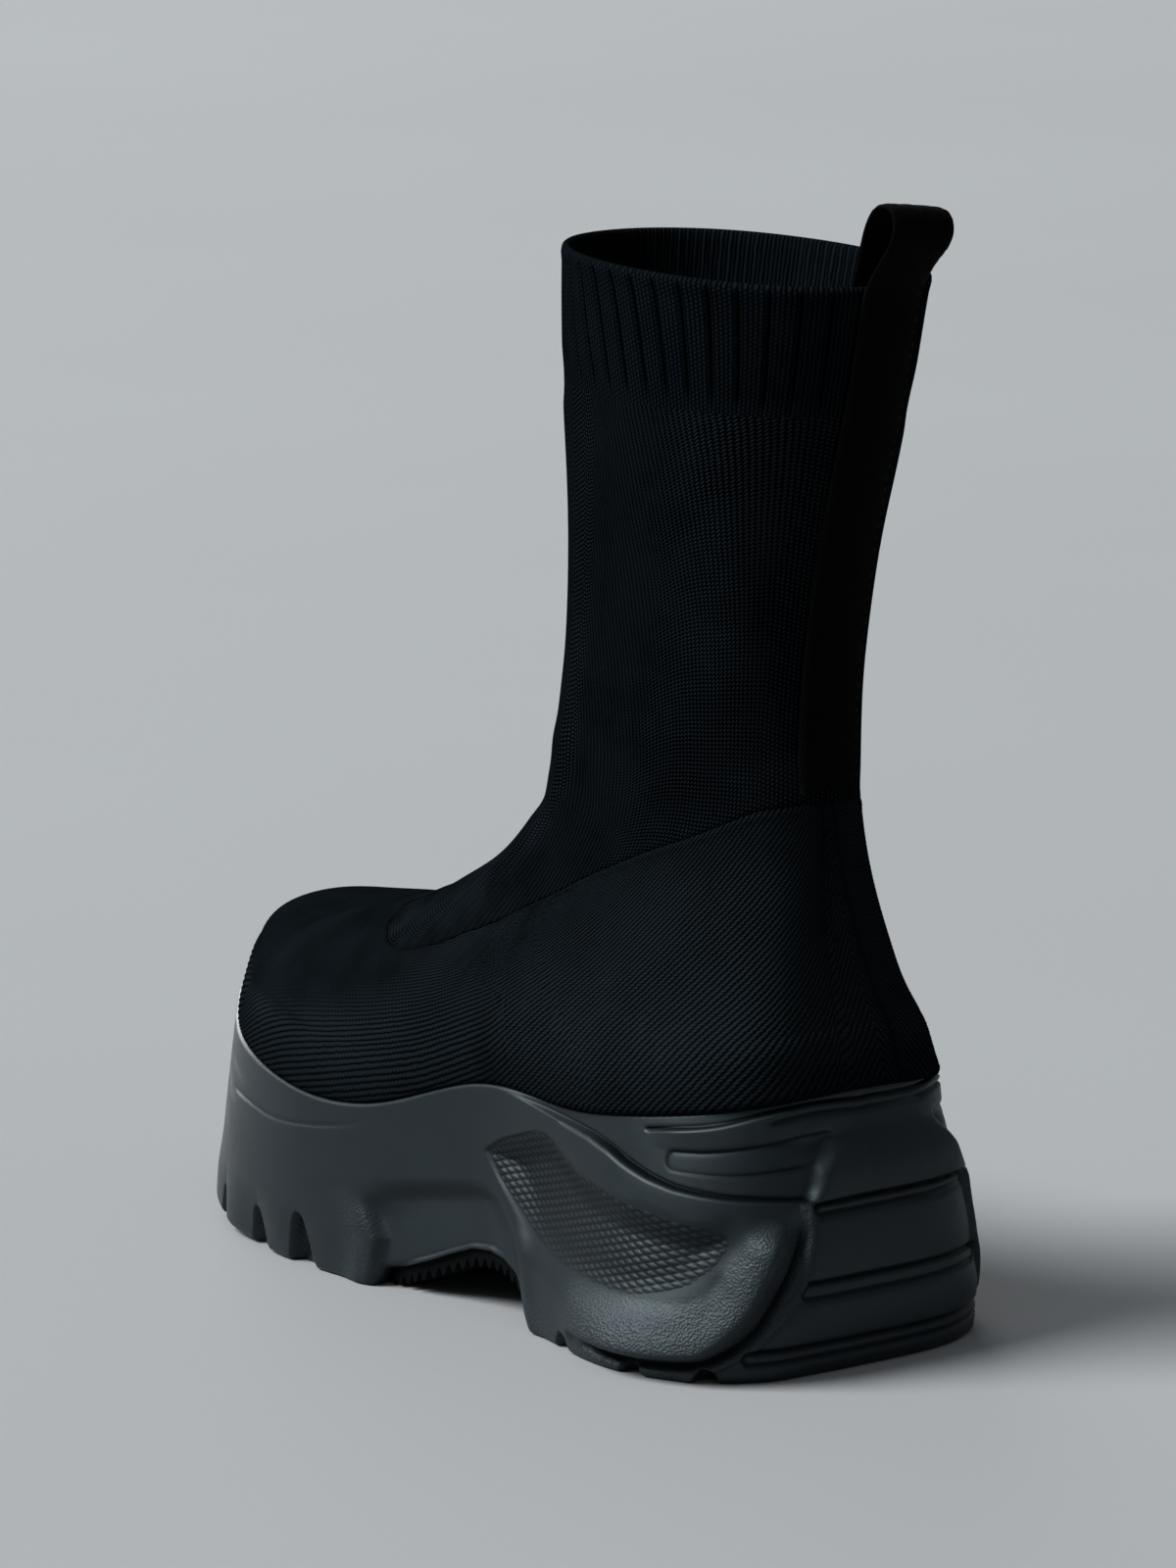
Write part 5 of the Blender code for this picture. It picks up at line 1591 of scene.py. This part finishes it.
# ---------------------------------------------------------------- the boot
place_piece(build_midsole(), "sole", "midsole", "midsole")
place_piece(build_knurl("midsole_knurl_lateral", False), "knurl", "midsole")
place_piece(build_knurl("midsole_knurl_medial", True), "knurl", "midsole")
place_piece(build_outsole(), "tread", "outsole", "outsole")
place_piece(build_vamp(), "vamp", "upper", "upper")
place_piece(build_shaft(), "shaft", "upper", "upper")
place_piece(build_collar(), "rib", "upper", "upper")
sock = place_piece(build_insole(), "sock", "insole", "insole")
tape, tape_path, tape_normal, tape_at = build_tape()
place_piece(tape, "pile", "heel_tape", "heel_tape")
place_piece(build_seam_stitches(), "thread", "upper")
place_piece(build_tape_stitches(tape_path, tape_normal, tape_at), "tape_thread", "heel_tape")

# ---------------------------------------------------------------- floor, light, camera
floor_mesh = bpy.data.meshes.new("floor")
floor_mesh.from_pydata([(-14, -14, 0), (14, -14, 0), (14, 14, 0), (-14, 14, 0)], [], [(0, 1, 2, 3)])
floor = bpy.data.objects.new("floor", floor_mesh)
floor.data.materials.append(pale_floor("pale_floor"))
bpy.context.scene.collection.objects.link(floor)


CAMERA = np.array([-1430.2, 1285.7, 516.7])
PITCH = math.radians(10.06)
ROLL = math.radians(0.675)
PHOTO_FOCUS = 6200.0            # pixels of the 1200 x 1600 photograph
AIM = (474.0, 898.0)            # the boot's middle in the photograph
NEARER = 1.34                   # how much tighter the frame is than the photograph

flat = np.array([0.7547, -0.6561, 0.0])
ahead = np.array([flat[0] * math.cos(PITCH), flat[1] * math.cos(PITCH), -math.sin(PITCH)])
right0 = np.array([-0.6561, -0.7547, 0.0])
up0 = np.cross(right0, ahead)
right = right0 * math.cos(ROLL) + up0 * math.sin(ROLL)
up = -right0 * math.sin(ROLL) + up0 * math.cos(ROLL)
look = ahead * PHOTO_FOCUS + right * (AIM[0] - 600) - up * (AIM[1] - 800)
look /= np.linalg.norm(look)
right = right - look * (right @ look)
right /= np.linalg.norm(right)
up = np.cross(right, look)

camera_data = bpy.data.cameras.new("camera")
camera_data.sensor_fit = "VERTICAL"
camera_data.sensor_height = 36.0
camera_data.lens = PHOTO_FOCUS / 1600 * 36.0 * NEARER
camera_data.clip_start = 0.05
camera = bpy.data.objects.new("camera", camera_data)
spot = (CAMERA - SHIFT) * 0.001
camera.matrix_world = Matrix([(*(float(v) for v in row), float(p)) for row, p in
                              zip(np.column_stack([right, up, -look]), spot)] + [(0, 0, 0, 1)])
bpy.context.scene.collection.objects.link(camera)
bpy.context.scene.camera = camera

# a broad soft source from the left, a weaker one low behind it, a faint one overhead
def soft_sun(name, towards, spread, strength, colour):
    light = bpy.data.lights.new(name, "SUN")
    light.angle = math.radians(spread)
    light.energy = strength
    light.color = colour
    obj = bpy.data.objects.new(name, light)
    obj.rotation_euler = Vector(tuple(-np.asarray(towards))).to_track_quat("-Z", "Y").to_euler()
    bpy.context.scene.collection.objects.link(obj)
    return obj


level = np.array([look[0], look[1], 0]) / math.hypot(look[0], look[1])
left = np.array([level[1] * -1, level[0], 0])
left = left if left @ right < 0 else -left


def direction(round_behind, high):
    """From the boot to a light: degrees round behind from straight left, degrees up."""
    a, b = math.radians(round_behind), math.radians(high)
    return (left * math.cos(a) + level * math.sin(a)) * math.cos(b) + np.array([0, 0, math.sin(b)])


soft_sun("key", direction(-10, 47), 32, 5.4, (.97, .99, 1.0))
sheen = soft_sun("left_back", direction(68, 18), 44, 2.6, (.97, .99, 1.0))
sheen.visible_diffuse = False
soft_sun("top", direction(-60, 72), 70, .35, (.95, .98, 1.0))

world = bpy.data.worlds.new("studio")
world.use_nodes = True
world.node_tree.nodes["Background"].inputs["Color"].default_value = (.86, .93, 1.0, 1)
world.node_tree.nodes["Background"].inputs["Strength"].default_value = .16
bpy.context.scene.world = world
bpy.context.scene.view_settings.view_transform = "Standard"
